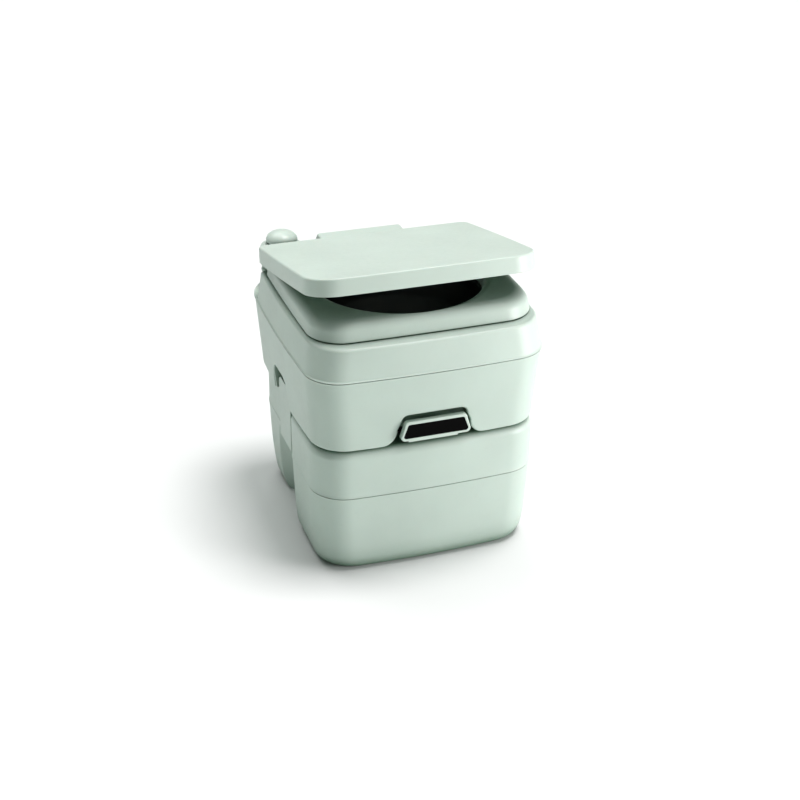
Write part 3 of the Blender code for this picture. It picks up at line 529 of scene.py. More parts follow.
def smoothed(profile, radius, steps=4, closed=False):
    """Round the corners of a profile with arcs of up to the given radius."""
    count = len(profile)
    made = []
    for k in range(count):
        here = Vector(profile[k])
        if not closed and k in (0, count - 1):
            made.append(tuple(here))
            continue
        before = Vector(profile[k - 1]) - here
        after = Vector(profile[(k + 1) % count]) - here
        if before.length < 1e-6 or after.length < 1e-6:
            continue
        turn = before.angle(after)
        if turn > math.radians(172):
            made.append(tuple(here))
            continue
        reach = min(radius / math.tan(turn / 2), before.length * 0.48, after.length * 0.48)
        start, end = here + before.normalized() * reach, here + after.normalized() * reach
        for i in range(steps + 1):
            t = i / steps
            point = start * (1 - t) ** 2 + here * 2 * t * (1 - t) + end * t ** 2
            made.append(tuple(point))
    return made


def flared_cutter(name, plane, outline, surface, fillet, depth, outwards, steps):
    """Cutter that leaves a rounded lip: outline(grow) in the wall's own plane, surface(a, b) the
    wall's place there, fillet the lip's radius, depth where the cut ends, outwards +1 or -1."""
    rings = [[(a, b, surface(a, b) + outwards * 0.03) for a, b in outline(fillet)]]
    for k in range(steps + 1):
        angle = math.radians(8 + 82 * k / steps)
        grow, sink = fillet * (1 - math.sin(angle)), fillet * (1 - math.cos(angle))
        rings.append([(a, b, surface(a, b) - outwards * sink) for a, b in outline(grow)])
    rings.append([(a, b, depth) for a, b in outline(0.0)])
    bm = skinned(rings)
    bm.transform(TURNS[plane])
    return add_bmesh(name, bm)


# --- Flush tank -------------------------------------------------------


def flush_outline(inset, fine=1):
    """Flush tank's plan, pulled in by an inset."""
    tight = max(0.0, inset - 0.008)
    return tank_outline(
        HALF_WIDTH - inset,
        FRONT_Y + inset,
        BACK_Y - inset,
        FRONT_RADIUS - tight,
        BACK_RADIUS - tight,
        fine=fine,
    )


def flush_loft(name, rows):
    """Body of the flush tank from rows of (z, inset)."""
    return loft(name, [(flush_outline(inset), z) for z, inset in rows])


def pump_bay(grow, steps=28):
    """Upright hollow at the left back corner that the pump stands in."""
    radius = 0.041 + grow
    reach = 0.147 - grow
    front = 0.107 - grow
    touch = math.degrees(math.acos((reach + PUMP_X) / radius))
    points = [(-0.22, front), (-reach, front)]
    points += arc((PUMP_X, PUMP_Y), radius, 180 + touch, 360, steps)
    points += [(PUMP_X + radius, 0.25), (-0.22, 0.25)]
    return points


TOP_WALL_FOOT = (FLUSH_SEAM_Z + 0.0032, 0.0015)
TOP_WALL_HEAD = (0.3460, 0.0074)
BASE_WALL_FOOT = (FLUSH_FLOOR_Z + 0.0040, 0.0083)
BASE_WALL_HEAD = (FLUSH_SEAM_Z - 0.0030, 0.0012)


def make_flush_top():
    """Deck and upper wall: rounded rim, bead over the seam, pump bay, holes and hinge ears."""
    bead = [
        (FLUSH_SEAM_Z + 0.0003, 0.0007),
        (FLUSH_SEAM_Z + 0.0006, 0.0001),
        (FLUSH_SEAM_Z + 0.0012, 0.0000),
        (FLUSH_SEAM_Z + 0.0018, 0.0004),
        (FLUSH_SEAM_Z + 0.0023, 0.0011),
    ]
    head_z, head_inset = TOP_WALL_HEAD
    rim = quarter(head_inset, head_z, 0.0118, DECK_Z, 8, False)
    rows = bead + refined([TOP_WALL_FOOT, TOP_WALL_HEAD]) + rim[1:]
    shell = flush_loft("shell", rows)
    shell = carve(shell, plate("bay", pump_bay(0.0), PUMP_FLOOR_Z, 0.40))
    under = DECK_Z - WALL
    hollow = flush_loft("hollow", [
        (0.29, WALL + 0.0012),
        (FLUSH_SEAM_Z + 0.003, 0.0050),
        (under - 0.004, 0.0110),
        (under, 0.0155),
    ])
    hollow = carve(hollow, plate("bay", pump_bay(0.003), 0.20, 0.40))
    shell = carve(shell, hollow)
    hole = BOWL_RADIUS + 0.004
    mouth = [(0.0, 0.37), (hole + 0.002, 0.37), (hole + 0.002, DECK_Z + 0.0001)]
    mouth += [(hole + 0.0006, DECK_Z - 0.0006), (hole, DECK_Z - 0.0020), (hole, 0.33), (0.0, 0.33)]
    shell = carve(shell, turned("mouth", mouth, (0.0, BOWL_Y), 128))
    shell = carve(shell, rod("fill", (FILLER_X, FILLER_Y, DECK_Z), 0.0185, 0.06, segments=48))
    shell = carve(shell, rod("feed", (PUMP_X, PUMP_Y, PUMP_FLOOR_Z), 0.0190, 0.02, segments=48))
    for side in (-1, 1):
        shell = carve(shell, hinge_bracket(side), "UNION")
    return present(shell, "flush_tank_top_skin", "tank", "root", "flush_tank_top")


def hinge_lug(x, profile, bevel):
    """Plate across a hinge pin, with the pin's bore."""
    lug = plate("lug", profile, x - LUG_HALF, x + LUG_HALF, "YZ", bevel)
    return carve(lug, rod("bore", (x, HINGE_Y, HINGE_Z), HINGE_BORE, 0.03, "X", 32))


def hinge_bracket(side):
    """Upright ear on the deck that carries one hinge pin."""
    foot = DECK_Z - 0.001
    profile = [(HINGE_Y - 0.0120, foot), (HINGE_Y + 0.0005, foot)]
    profile += arc((HINGE_Y, HINGE_Z), 0.0058, -10, 200, 20)
    return hinge_lug(side * EAR_X, profile, 0.0007)


def wall_inset(z):
    """Inset of the flush tank's lower wall at a height."""
    (low, wide), (high, narrow) = BASE_WALL_FOOT, BASE_WALL_HEAD
    if z < low:
        drop = min(1.0, (low - z) / (low - FLUSH_FLOOR_Z))
        return wide + 0.0037 * (1 - math.sqrt(max(0.0, 1 - drop * drop)))
    return wide + (narrow - wide) * (z - low) / (high - low)


def front_surface(x, z):
    """Place of the flush tank's front wall, with its bow."""
    inset = wall_inset(z)
    reach = HALF_WIDTH - FRONT_RADIUS
    t = (x + reach) / (2 * reach)
    return FRONT_Y + inset - 4.0 * SIDE_BOW * t * (1.0 - t)


def side_surface(y, z):
    """Distance of the flush tank's side walls from the middle, with their bow."""
    front, back = FRONT_Y + FRONT_RADIUS, BACK_Y - BACK_RADIUS
    t = (y - front) / (back - front)
    return HALF_WIDTH - wall_inset(z) + 4.0 * SIDE_BOW * t * (1.0 - t)


def round_topped(low, high, corner, steps):
    """Upright outline between two corners, with its upper corners rounded."""
    points = [low, (high[0], low[1])]
    points += arc((high[0] - corner, high[1] - corner), corner, 0, 90, steps)
    points += arc((low[0] + corner, high[1] - corner), corner, 90, 180, steps)
    return points


def arch_outline(grow):
    """Side opening over a latch."""
    low, high = (ARCH_Y[0] - grow, CUT_FOOT_Z), (ARCH_Y[1] + grow, ARCH_TOP_Z + grow)
    return round_topped(low, high, ARCH_CORNER + grow, 16)


def pocket_outline(grow):
    """Opening in the front wall for the valve's handle, with its lower corners swept out."""
    half, top_half = POCKET_HALF[0] + grow, POCKET_HALF[1] + grow
    top = POCKET_TOP_Z + grow
    corner = 0.009 + grow
    sweep = POCKET_SWEEP - grow
    low = FLUSH_FLOOR_Z - 0.0012 + grow
    reach = half + sweep
    high = low + sweep
    end = reach + 0.030
    points = [(-end, CUT_FOOT_Z), (end, CUT_FOOT_Z), (end, FLUSH_FLOOR_Z - 0.0022)]
    points += arc((reach, high), sweep, 270, 180, 20)
    points += arc((top_half - corner, top - corner), corner, 0, 90, 12)
    points += arc((-top_half + corner, top - corner), corner, 90, 180, 12)
    points += arc((-reach, high), sweep, 0, -90, 20)
    points += [(-end, FLUSH_FLOOR_Z - 0.0022)]
    return points


def pocket_cutter():
    """Cutter of the handle's pocket, with a soft lip that follows the bowed wall."""
    return flared_cutter(
        "pocket", "XZ", pocket_outline, front_surface, POCKET_FILLET, POCKET_BACK_Y, -1, 6
    )


def arch_cutter(side):
    """Cutter of one side arch, with a soft lip."""
    return flared_cutter(
        "arch", "YZ", arch_outline, lambda y, z: side * side_surface(y, z), ARCH_FILLET,
        side * ARCH_DEPTH_X, side, 4,
    )


def make_flush_base():
    """Lower wall and floor: soft lower edge, handle pocket, side arches and latch keepers."""
    foot_z, foot_inset = BASE_WALL_FOOT
    rows = quarter(0.0120, FLUSH_FLOOR_Z, foot_inset, foot_z, 7, True)
    rows += refined([BASE_WALL_FOOT, BASE_WALL_HEAD])[1:]
    rows += [
        (FLUSH_SEAM_Z - 0.0021, 0.0009),
        (FLUSH_SEAM_Z - 0.0016, 0.0002),
        (FLUSH_SEAM_Z - 0.0010, 0.0000),
        (FLUSH_SEAM_Z - 0.0004, 0.0002),
        (FLUSH_SEAM_Z - 0.0001, 0.0008),
    ]
    shell = flush_loft("shell", rows)
    floor = FLUSH_FLOOR_Z + WALL
    hollow = flush_loft("hollow", [(floor, 0.0155), (floor + 0.004, 0.0120), (0.32, WALL + 0.001)])
    hollow = carve(hollow, box("tunnel", (-0.0655, -0.3, 0.1), (0.0655, 0.085, TUNNEL_TOP_Z + WALL)))
    hollow = carve(hollow, plate("pocket", pocket_outline(WALL), -0.3, POCKET_BACK_Y + WALL, "XZ"))
    for side in (-1, 1):
        near, far = sorted((side * (ARCH_DEPTH_X - WALL), side * 0.3))
        hollow = carve(hollow, plate("arch", arch_outline(WALL), near, far, "YZ"))
    shell = carve(shell, hollow)
    for side in (-1, 1):
        shell = carve(shell, arch_cutter(side))
        shell = carve(shell, latch_keeper(side), "UNION")
    shell = carve(shell, pocket_cutter())
    tunnel = box("tunnel", (-TUNNEL_HALF, POCKET_BACK_Y - 0.001, 0.1), (TUNNEL_HALF, 0.0815, TUNNEL_TOP_Z))
    shell = carve(shell, tunnel)
    shell = carve(shell, rod("throat", (0, BOWL_Y, 0.22), OUTLET_RADIUS + 0.0045, 0.05))
    return present(shell, "flush_tank_base_skin", "tank", "root", "flush_tank_base")


def latch_keeper(side):
    """Ledge in the side opening that a latch hooks over."""
    near, far = sorted((side * (ARCH_DEPTH_X - 0.001), side * 0.1532))
    return rounded(box("keeper", (near, -0.024, 0.2000), (far, 0.012, 0.2060)), 0.0008)


def make_bowl():
    """Turned bowl: rolled rim, water ledge, smooth cone and outlet neck."""
    profile = [
        (BOWL_RIM_RADIUS, 0.3532),
        (BOWL_RIM_RADIUS, DECK_Z + GAP),
        (BOWL_RADIUS + 0.0030, DECK_Z + GAP),
        (BOWL_RADIUS + 0.0015, 0.3350),
        (0.1080, 0.3000),
        (0.0860, 0.2660),
        (0.0590, 0.2370),
        (OUTLET_RADIUS + 0.0040, 0.2200),
        (OUTLET_RADIUS + 0.0035, 0.2084),
        (OUTLET_RADIUS, 0.2084),
        (OUTLET_RADIUS, 0.2212),
        (0.0570, 0.2400),
        (0.0835, 0.2690),
        (0.1048, 0.3020),
        (BOWL_RADIUS - 0.0017, 0.3350),
        (BOWL_RADIUS, 0.3532),
    ]
    made = turned("bowl", smoothed(profile, 0.020, 6, True), (0.0, BOWL_Y), 128, True)
    # The bowl's near-black material is painted shade.
    return present(made, "bowl_skin", "bowl", "root", "bowl")


# --- Seat and lid -----------------------------------------------------


def seat_outline(inset, radius):
    """Seat's plan, pulled in by an inset."""
    return tank_outline(
        SEAT_HALF - inset, SEAT_FRONT_Y + inset, SEAT_BACK_Y - inset, radius, 0.022, bow=0.0012
    )


def make_seat():
    """Moulded seat: soft shoulder, rolled opening, hollow and ribbed underneath, two lugs."""
    rows = [(SEAT_BASE_Z, 0.0006), (SEAT_BASE_Z + 0.0005, 0.0001), (SEAT_BASE_Z + 0.0012, 0.0)]
    rows += [(0.3572, 0.0008), (SEAT_SHOULDER_Z, 0.0022)]
    rows += quarter(0.0022, SEAT_SHOULDER_Z, 0.0200, SEAT_TOP_Z, 12, False)[1:]
    levels = [(seat_outline(inset, 0.050 - inset / 3), z) for z, inset in rows]
    seat = loft("seat", levels)
    hollow = loft("hollow", [
        (seat_outline(0.0040, 0.046), 0.30),
        (seat_outline(0.0062, 0.045), 0.3630),
        (seat_outline(0.0150, 0.040), 0.3735),
    ])
    hollow = carve(hollow, rod("core", (0, BOWL_Y, 0.34), BOWL_RADIUS + 0.0058, 0.2, segments=96))
    for k in range(8):
        angle = math.radians(22.5 + 45 * k)
        hollow = carve(hollow, seat_rib(angle))
    seat = carve(seat, hollow)
    seat = carve(seat, rod("step", (0, BOWL_Y, 0.3275), BOWL_RIM_RADIUS + 0.0025, 0.055, segments=96))
    wide, deep = OPENING_ROLL
    brim = OPENING_RADIUS + wide
    lip = [(0.0, 0.40), (brim, 0.40), (brim, SEAT_TOP_Z + 0.0002)]
    for k in range(1, 11):
        angle = math.radians(9 * k)
        lip.append((brim - wide * math.sin(angle), SEAT_TOP_Z - deep * (1 - math.cos(angle))))
    lip += [(OPENING_RADIUS, 0.3560), (OPENING_RADIUS + 0.0005, 0.33), (0.0, 0.33)]
    seat = carve(seat, turned("opening", lip, (0.0, BOWL_Y), 144))
    for side in (-1, 1):
        seat = carve(seat, seat_lug(side), "UNION")
    return present(seat, "seat_skin", "seat", "seat", "seat")


def seat_rib(angle):
    """Stiffening rib under the seat, from the opening's wall outwards."""
    bm = bmesh.new()
    bmesh.ops.create_cube(bm, size=1.0)
    bmesh.ops.scale(bm, vec=(0.080, 0.0018, 0.030), verts=bm.verts)
    bmesh.ops.translate(bm, vec=(0.160, 0.0, 0.3725), verts=bm.verts)
    bm.transform(Matrix.Translation((0.0, BOWL_Y, 0.0)) @ Matrix.Rotation(angle, 4, "Z"))
    return add_bmesh("rib", bm)


def seat_lug(side):
    """Arm from the seat's back edge to its hinge pin."""
    profile = [(SEAT_BACK_Y - 0.0035, 0.3735), (SEAT_BACK_Y - 0.0035, 0.3600)]
    profile += arc((HINGE_Y, HINGE_Z), 0.0055, -100, 110, 18)
    return hinge_lug(side * SEAT_LUG_X, profile, 0.0005)


def lid_outline(inset):
    """Lid's plan, pulled in by an inset."""
    return tank_outline(
        LID_HALF - inset,
        LID_FRONT_Y + inset,
        LID_BACK_Y - inset,
        0.044 - inset,
        0.016 - min(inset, 0.012),
        bow=0.0015,
    )


def make_lid():
    """Lid with a rounded brow and a flared skirt, ribbed underneath, turned up to stand ajar."""
    rows = [
        (LID_SKIRT_Z, 0.0006),
        (LID_SKIRT_Z + 0.0005, 0.0001),
        (LID_SKIRT_Z + 0.0012, 0.0),
        (LID_TOP_Z - LID_ROUNDING, 0.0008),
    ]
    brow = quarter(0.0008, LID_TOP_Z - LID_ROUNDING, 0.0036, LID_TOP_Z, 7, False)
    rows = refined(rows, 0.004) + brow[1:]
    lid = loft("lid", [(lid_outline(inset), z) for z, inset in rows])
    under = LID_TOP_Z - LID_WALL
    hollow = loft("hollow", [
        (lid_outline(LID_WALL), 0.33),
        (lid_outline(LID_WALL + 0.0012), under - 0.003),
        (lid_outline(LID_WALL + 0.0030), under - 0.001),
        (lid_outline(LID_WALL + 0.0060), under),
    ])
    hollow = carve(hollow, lid_ribs(under))
    lid = carve(lid, hollow)
    lid = carve(lid, box("notch", (-0.1460, 0.117, 0.33), (0.1460, 0.16, LID_TOP_Z - 0.0060)))
    for side in (-1, 1):
        near, far = sorted((side * 0.0480, side * 0.0810))
        lid = carve(lid, box("slot", (near, 0.1165, 0.33), (far, 0.17, LID_TOP_Z - 0.0024)))
        lid = carve(lid, lid_lug(side), "UNION")
    place = Matrix.Translation((0.0, HINGE_Y, HINGE_Z))
    lid.data.transform(place @ Matrix.Rotation(-LID_AJAR, 4, "X") @ place.inverted())
    return present(lid, "lid_skin", "lid", "lid", "lid")


def lid_ribs(under):
    """Low stiffening frame on the lid's underside."""
    outer = tank_outline(0.128, -0.133, 0.098, 0.034, 0.024, bow=0.0)
    inner = tank_outline(0.1262, -0.1312, 0.0962, 0.0322, 0.0222, bow=0.0)
    frame_rib = plate("ribs", outer, under - 0.0008, under + 0.01)
    return carve(frame_rib, plate("inside", inner, under - 0.01, under + 0.02))


def lid_lug(side):
    """Ear under the lid that turns on the hinge pin."""
    top = LID_TOP_Z - LID_WALL + 0.001
    profile = [(HINGE_Y + 0.0035, top), (HINGE_Y - 0.0110, top)]
    profile += arc((HINGE_Y, HINGE_Z), 0.0055, 195, 355, 16)
    return hinge_lug(side * LID_LUG_X, profile, 0.0004)


# --- Pump -------------------------------------------------------------


def make_bellows():
    """Pleated bellows with rounded folds, open at both ends."""
    top, bottom = BELLOWS_HIGH.z, BELLOWS_LOW.z
    pitch = (top - bottom) / BELLOWS_PLEATS
    middle, swing = BELLOWS_RADIUS - 0.0022, 0.0022
    outer = [(0.0205, top), (0.0270, top)]
    count = BELLOWS_PLEATS * 12
    for k in range(1, count):
        z = top - (top - bottom) * k / count
        phase = 2 * math.pi * (top - z) / pitch
        wave = -math.cos(phase)
        outer.append((middle + swing * math.copysign(abs(wave) ** 0.7, wave), z))
    outer.append((0.0276, bottom))
    inner = [(r - 0.0016, z) for r, z in reversed(outer[2:-1])]
    profile = outer + [(0.0260, bottom)] + inner + [(0.0205, top - 0.0014)]
    made = turned("bellows", profile, (PUMP_X, PUMP_Y), 80, True)
    return present(made, "pump_bellows_skin", "bellows", "root", "pump_bellows")


def make_knob():
    """Domed push knob with a shoulder line and a short neck."""
    top, foot = KNOB_HIGH.z, KNOB_LOW.z
    radius = (KNOB_HIGH.x - KNOB_LOW.x) / 2
    height = 0.0135
    profile = [(0.0, top)]
    for k in range(1, 13):
        angle = math.radians(6.5 * k)
        profile.append((radius * math.sin(angle), top - height * (1 - math.cos(angle))))
    rim = top - height
    profile += [
        (radius * 0.992, rim + 0.0018),
        (radius, rim + 0.0006),
        (radius, rim - 0.0012),
        (radius - 0.0007, rim - 0.0020),
        (radius - 0.0018, rim - 0.0024),
        (0.0172, rim - 0.0026),
        (0.0166, rim - 0.0034),
        (0.0165, foot),
        (0.0, foot),
    ]
    made = turned("knob", profile, (PUMP_X, PUMP_Y), 96)
    return present(made, "pump_knob_skin", "knob", "pump_plunger", "pump_knob")


def make_pump_base():
    """Screwed ring that holds the bellows, and its suction neck."""
    low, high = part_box("pump_base")
    profile = [
        (0.0306, high.z),
        (BELLOWS_RADIUS - 0.0004, high.z - 0.0008),
        (BELLOWS_RADIUS - 0.0004, PUMP_FLOOR_Z + GAP),
        (0.0180, PUMP_FLOOR_Z + GAP),
        (0.0180, low.z),
        (0.0140, low.z),
        (0.0140, high.z),
    ]
    made = turned("base", smoothed(profile, 0.0005, 3, True), (PUMP_X, PUMP_Y), 96, True)
    return present(made, "pump_base_skin", "tank", "root", "pump_base")


# --- Filler, hinge cover ----------------------------------------------


def ribbed_rim(profile, centre, radius, depth, ribs, band):
    """Turned cap whose outer band is fluted with grip ribs."""
    segments = ribs * 6
    made = turned("cap", profile, centre, segments)
    for vert in made.data.vertices:
        dx, dy = vert.co.x - centre[0], vert.co.y - centre[1]
        reach = math.hypot(dx, dy)
        if reach > radius - 0.0002 and band[0] < vert.co.z < band[1]:
            angle = math.atan2(dy, dx)
            dip = depth * (0.5 - 0.5 * math.cos(angle * ribs))
            vert.co.x -= dx / reach * dip
            vert.co.y -= dy / reach * dip
    return made


def grip_bar(low, high, plane, bevel):
    """Rounded bar across a cap, between two corners."""
    a, b, c = {"XY": (0, 1, 2), "XZ": (0, 2, 1)}[plane]
    end = (high[b] - low[b]) / 2
    points = arc((high[a] - end, low[b] + end), end, -90, 90, 12)
    points += arc((low[a] + end, low[b] + end), end, 90, 270, 12)
    return plate("grip", points, low[c], high[c], plane, bevel)


def make_filler_cap():
    """Water filler's cap: fluted rim, shallow dish and grip bar."""
    base = DECK_Z + 0.0022
    top = base + 0.0055
    profile = [
        (0.0, top - 0.0006),
        (0.0185, top - 0.0006),
        (0.0205, top),
        (0.0222, top),
        (0.0240, top - 0.0005),
        (0.0251, top - 0.0018),
        (0.0255, top - 0.0030),
        (0.0255, base + 0.0006),
        (0.0250, base),
        (0.0165, base),
        (0.0160, DECK_Z - 0.008),
        (0.0, DECK_Z - 0.008),
    ]
    cap = ribbed_rim(profile, (FILLER_X, FILLER_Y), 0.0251, 0.0006, 30, (base - 0.0001, top - 0.0014))
    low = (FILLER_X - 0.0190, FILLER_Y - 0.0035, base + 0.0040)
    high = (FILLER_X + 0.0190, FILLER_Y + 0.0035, base + 0.0105)
    cap = carve(cap, grip_bar(low, high, "XY", 0.0012), "UNION")
    return present(cap, "filler_cap_skin", "knob", "filler_cap", "filler_cap")


def make_hinge_cover():
    """Raised cover behind the lid, with softened corners."""
    low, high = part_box("hinge_cover")
    points = [(-0.0660, low.z), (0.0730, low.z), (0.0725, high.z - 0.0035)]
    points += arc((0.0690, high.z - 0.0033), 0.0033, 0, 90, 6)
    points += arc((-0.0560, high.z - 0.0040), 0.0040, 90, 150, 6)
    cover = plate("cover", points, low.y, high.y, "XZ", 0.0011)
    hollow = box("hollow", (-0.0560, 0.1505, 0.34), (0.0680, 0.1710, high.z - 0.0025))
    return present(carve(cover, hollow), "hinge_cover_skin", "tank", "root", "hinge_cover")


# --- Holding tank -----------------------------------------------------

# Height, inset of the front block, half width and back edge behind the step.
HOLD_LOWER_LEVELS = [
    (0.0000, 0.0168, 0.1367, 0.1496),
    (0.0012, 0.0140, 0.1396, 0.1526),
    (0.0032, 0.0120, 0.1416, 0.1546),
    (0.0060, 0.0102, 0.1432, 0.1562),
    (0.0110, 0.0082, 0.1450, 0.1582),
    (0.0180, 0.0065, 0.1466, 0.1602),
    (0.0380, 0.0045, 0.1490, 0.1640),
    (0.0600, 0.0034, 0.1505, 0.1670),
    (0.0900, 0.0020, 0.1515, 0.1692),
    (HOLD_SEAM_Z - 0.0030, 0.0010, 0.1522, 0.1712),
    (HOLD_SEAM_Z - 0.0012, 0.0004, 0.1528, 0.1718),
    (HOLD_SEAM_Z - 0.0007, 0.0006, 0.1526, 0.1716),
    (HOLD_SEAM_Z - 0.0004, 0.0014, 0.1518, 0.1708),
]
# Height, inner half width and front edge of the hand scoops, and their back edges.
SCOOP_LEVELS = [
    (-0.0100, 0.1050, -0.0420),
    (0.0000, 0.1060, -0.0420),
    (0.0200, 0.1080, -0.0418),
    (0.0450, 0.1120, -0.0414),
    (0.0750, 0.1200, -0.0408),
    (0.1000, 0.1310, -0.0400),
    (0.1130, 0.1430, -0.0390),
    (0.1190, 0.1580, -0.0380),
]
SCOOP_BACK_Y = (0.020, 0.086)
SCOOP_REACH_X = 0.2

HOLD_UPPER_LEVELS = [
    (HOLD_SEAM_Z, 0.0014, 0.1518, 0.1708),
    (HOLD_SEAM_Z + 0.0003, 0.0004, 0.1528, 0.1718),
    (HOLD_SEAM_Z + 0.0008, 0.0, HOLD_REAR_HALF, HOLD_BACK_Y),
    (HOLD_SEAM_Z + 0.0016, 0.0001, 0.1529, 0.1719),
    (HOLD_SEAM_Z + 0.0034, 0.0008, 0.1522, 0.1712),
    (0.1815, 0.0004, 0.1518, 0.1708),
]
HOLD_RIM_RADIUS = 0.0124


def hold_levels(rows, wall):
    """Outlines of one half of the holding tank, pulled in by a wall thickness."""
    levels = []
    for z, inset, rear_half, back in rows:
        points = stepped_outline(
            HOLD_HALF - inset - wall, rear_half - wall, HOLD_FRONT_Y + inset + wall, back - wall, wall
        )
        levels.append((points, z))
    return levels


def hold_rim_rows():
    """Rows of the rounded rim between the holding tank's wall and its deck."""
    z, inset, rear_half, back = HOLD_UPPER_LEVELS[-1]
    rows = []
    for k in range(1, 9):
        angle = math.pi / 2 * k / 8
        pull = HOLD_RIM_RADIUS * (1 - math.cos(angle))
        rise = (HOLD_TOP_Z - z) * math.sin(angle)
        rows.append((z + rise, inset + pull, rear_half - pull, back - pull))
    return rows


def make_hold_top():
    """Upper half of the holding tank, with a soft rim and a lip along the seam."""
    rows = refined(HOLD_UPPER_LEVELS, 0.010) + hold_rim_rows()
    shell = loft("shell", hold_levels(rows, 0.0))
    inside = [(0.11, *HOLD_UPPER_LEVELS[2][1:]), (0.1780, *HOLD_UPPER_LEVELS[-1][1:])]
    inside += [(z - WALL, *rest) for z, *rest in hold_rim_rows()[3::2]]
    shell = carve(shell, loft("hollow", hold_levels(inside, WALL)))
    shell = carve(shell, rod("outlet", (0, BOWL_Y, HOLD_TOP_Z), OUTLET_RADIUS + 0.001, 0.05))
    shell = carve(shell, rod("spout", (SPOUT_X, HOLD_BACK_Y, SPOUT_Z), 0.0235, 0.05, "Y"))
    vent = (*middle(*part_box("vent_pin"))[:2], HOLD_TOP_Z)
    shell = carve(shell, rod("vent", vent, 0.0052, 0.05, segments=32))
    return present(shell, "holding_tank_top_skin", "tank", "root", "holding_tank_top")


def hand_scoop(side, wall):
    """Space for a hand under a side of the holding tank, with a soft inner corner at its back."""
    levels = []
    for z, inner, front in refined(SCOOP_LEVELS, 0.006):
        near, low = inner - wall, front - wall
        high = SCOOP_BACK_Y[1] + wall
        start, bend = (0.155, high), (near + 0.001, SCOOP_BACK_Y[0] + 0.012 + wall)
        end = (near, SCOOP_BACK_Y[0] - 0.014 + wall)
        points = [(near, low), (SCOOP_REACH_X, low), (SCOOP_REACH_X, high), start]
        for k in range(1, 16):
            t = k / 16
            shares = ((1 - t) ** 2, 2 * t * (1 - t), t * t)
            points.append([sum(map(mul, shares, axis)) for axis in zip(start, bend, end)])
        points.append(end)
        levels.append(([(side * x, y) for x, y in points], z))
    return loft("scoop", levels)


def make_hold_base():
    """Lower half of the holding tank, bulging out from its foot, with a hand scoop in either side."""
    shell = loft("shell", hold_levels(refined(HOLD_LOWER_LEVELS, 0.006), 0.0))
    rows = [(z + WALL, *rest) for z, *rest in HOLD_LOWER_LEVELS[2:10]]
    rows.append((0.135, *HOLD_UPPER_LEVELS[2][1:]))
    hollow = loft("hollow", hold_levels(rows, WALL))
    for side in (-1, 1):
        hollow = carve(hollow, hand_scoop(side, WALL))
        shell = carve(shell, hand_scoop(side, 0.0))
    shell = carve(shell, hollow)
    return present(shell, "holding_tank_base_skin", "tank", "root", "holding_tank_base")


# --- Slide valve's handle ---------------------------------------------


def badge_outline(border):
    """Handle's face: wider at the bottom, with rounded corners."""
    low, high = BADGE_Z[0] + border, BADGE_Z[1] - border
    wide, narrow = BADGE_HALF[0] - border, BADGE_HALF[1] - border
    corner = 0.0062 - border * 0.6
    points = []
    for x, z, start in ((wide, low, 270), (narrow, high, 0), (-narrow, high, 90), (-wide, low, 180)):
        centre = (x - math.copysign(corner, x), z + (corner if z == low else -corner))
        points += arc(centre, corner, start, start + 90, 10)
    return points


def make_handle():
    """Pull handle with a raised rounded frame around its plate."""
    body = plate("handle", badge_outline(0.0), BADGE_FRONT_Y, BADGE_BACK_Y, "XZ", 0.0016, 5)
    body = carve(body, plate("seat", badge_outline(0.0038), -0.25, BADGE_FRONT_Y + 0.0018, "XZ"))
    back = HANDLE_HIGH.y
    foot = box("foot", (-0.0380, BADGE_BACK_Y - 0.0006, BADGE_Z[0] + 0.0020), (0.0380, back, 0.2120))
    root = box("root", (-0.0360, back - 0.0012, HANDLE_LOW.z), (0.0360, back, 0.2050))
    body = carve(body, rounded(carve(foot, root, "UNION"), 0.0004), "UNION")
    return present(body, "valve_handle_skin", "knob", "slide_valve", "valve_handle")


def make_handle_plate():
    """Plain black plate on the handle, slightly domed at its rim."""
    body = plate(
        "plate", badge_outline(0.0041), BADGE_FRONT_Y + 0.0004, BADGE_FRONT_Y + 0.0015, "XZ", 0.0004, 3
    )
    return present(body, "handle_plate_skin", "plate", "slide_valve", "handle_plate")


# --- Latches ----------------------------------------------------------


def make_latch(side, name):
    """Side latch: plain plate with rounded edges and a hooked tooth."""
    near, far = LATCH_X
    points = round_topped(*zip(LATCH_Y, LATCH_Z), LATCH_CORNER, 12)
    body = plate("latch", points, *sorted((side * near, side * far)), "YZ", 0.0014)
    tooth_x = sorted((side * 0.1505, side * (near + 0.001)))
    tooth = box("tooth", (tooth_x[0], -0.020, 0.2075), (tooth_x[1], 0.008, 0.2120))
    body = carve(body, rounded(tooth, 0.0006), "UNION")
    pivot = middle(*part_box("latch_pin_" + name))
    body = carve(body, rod("bore", pivot, 0.0021, 0.1, "Y", 32))
    return present(body, f"latch_{name}_skin", "tank", "latch_" + name, "latch_" + name)


# --- Spout cap --------------------------------------------------------


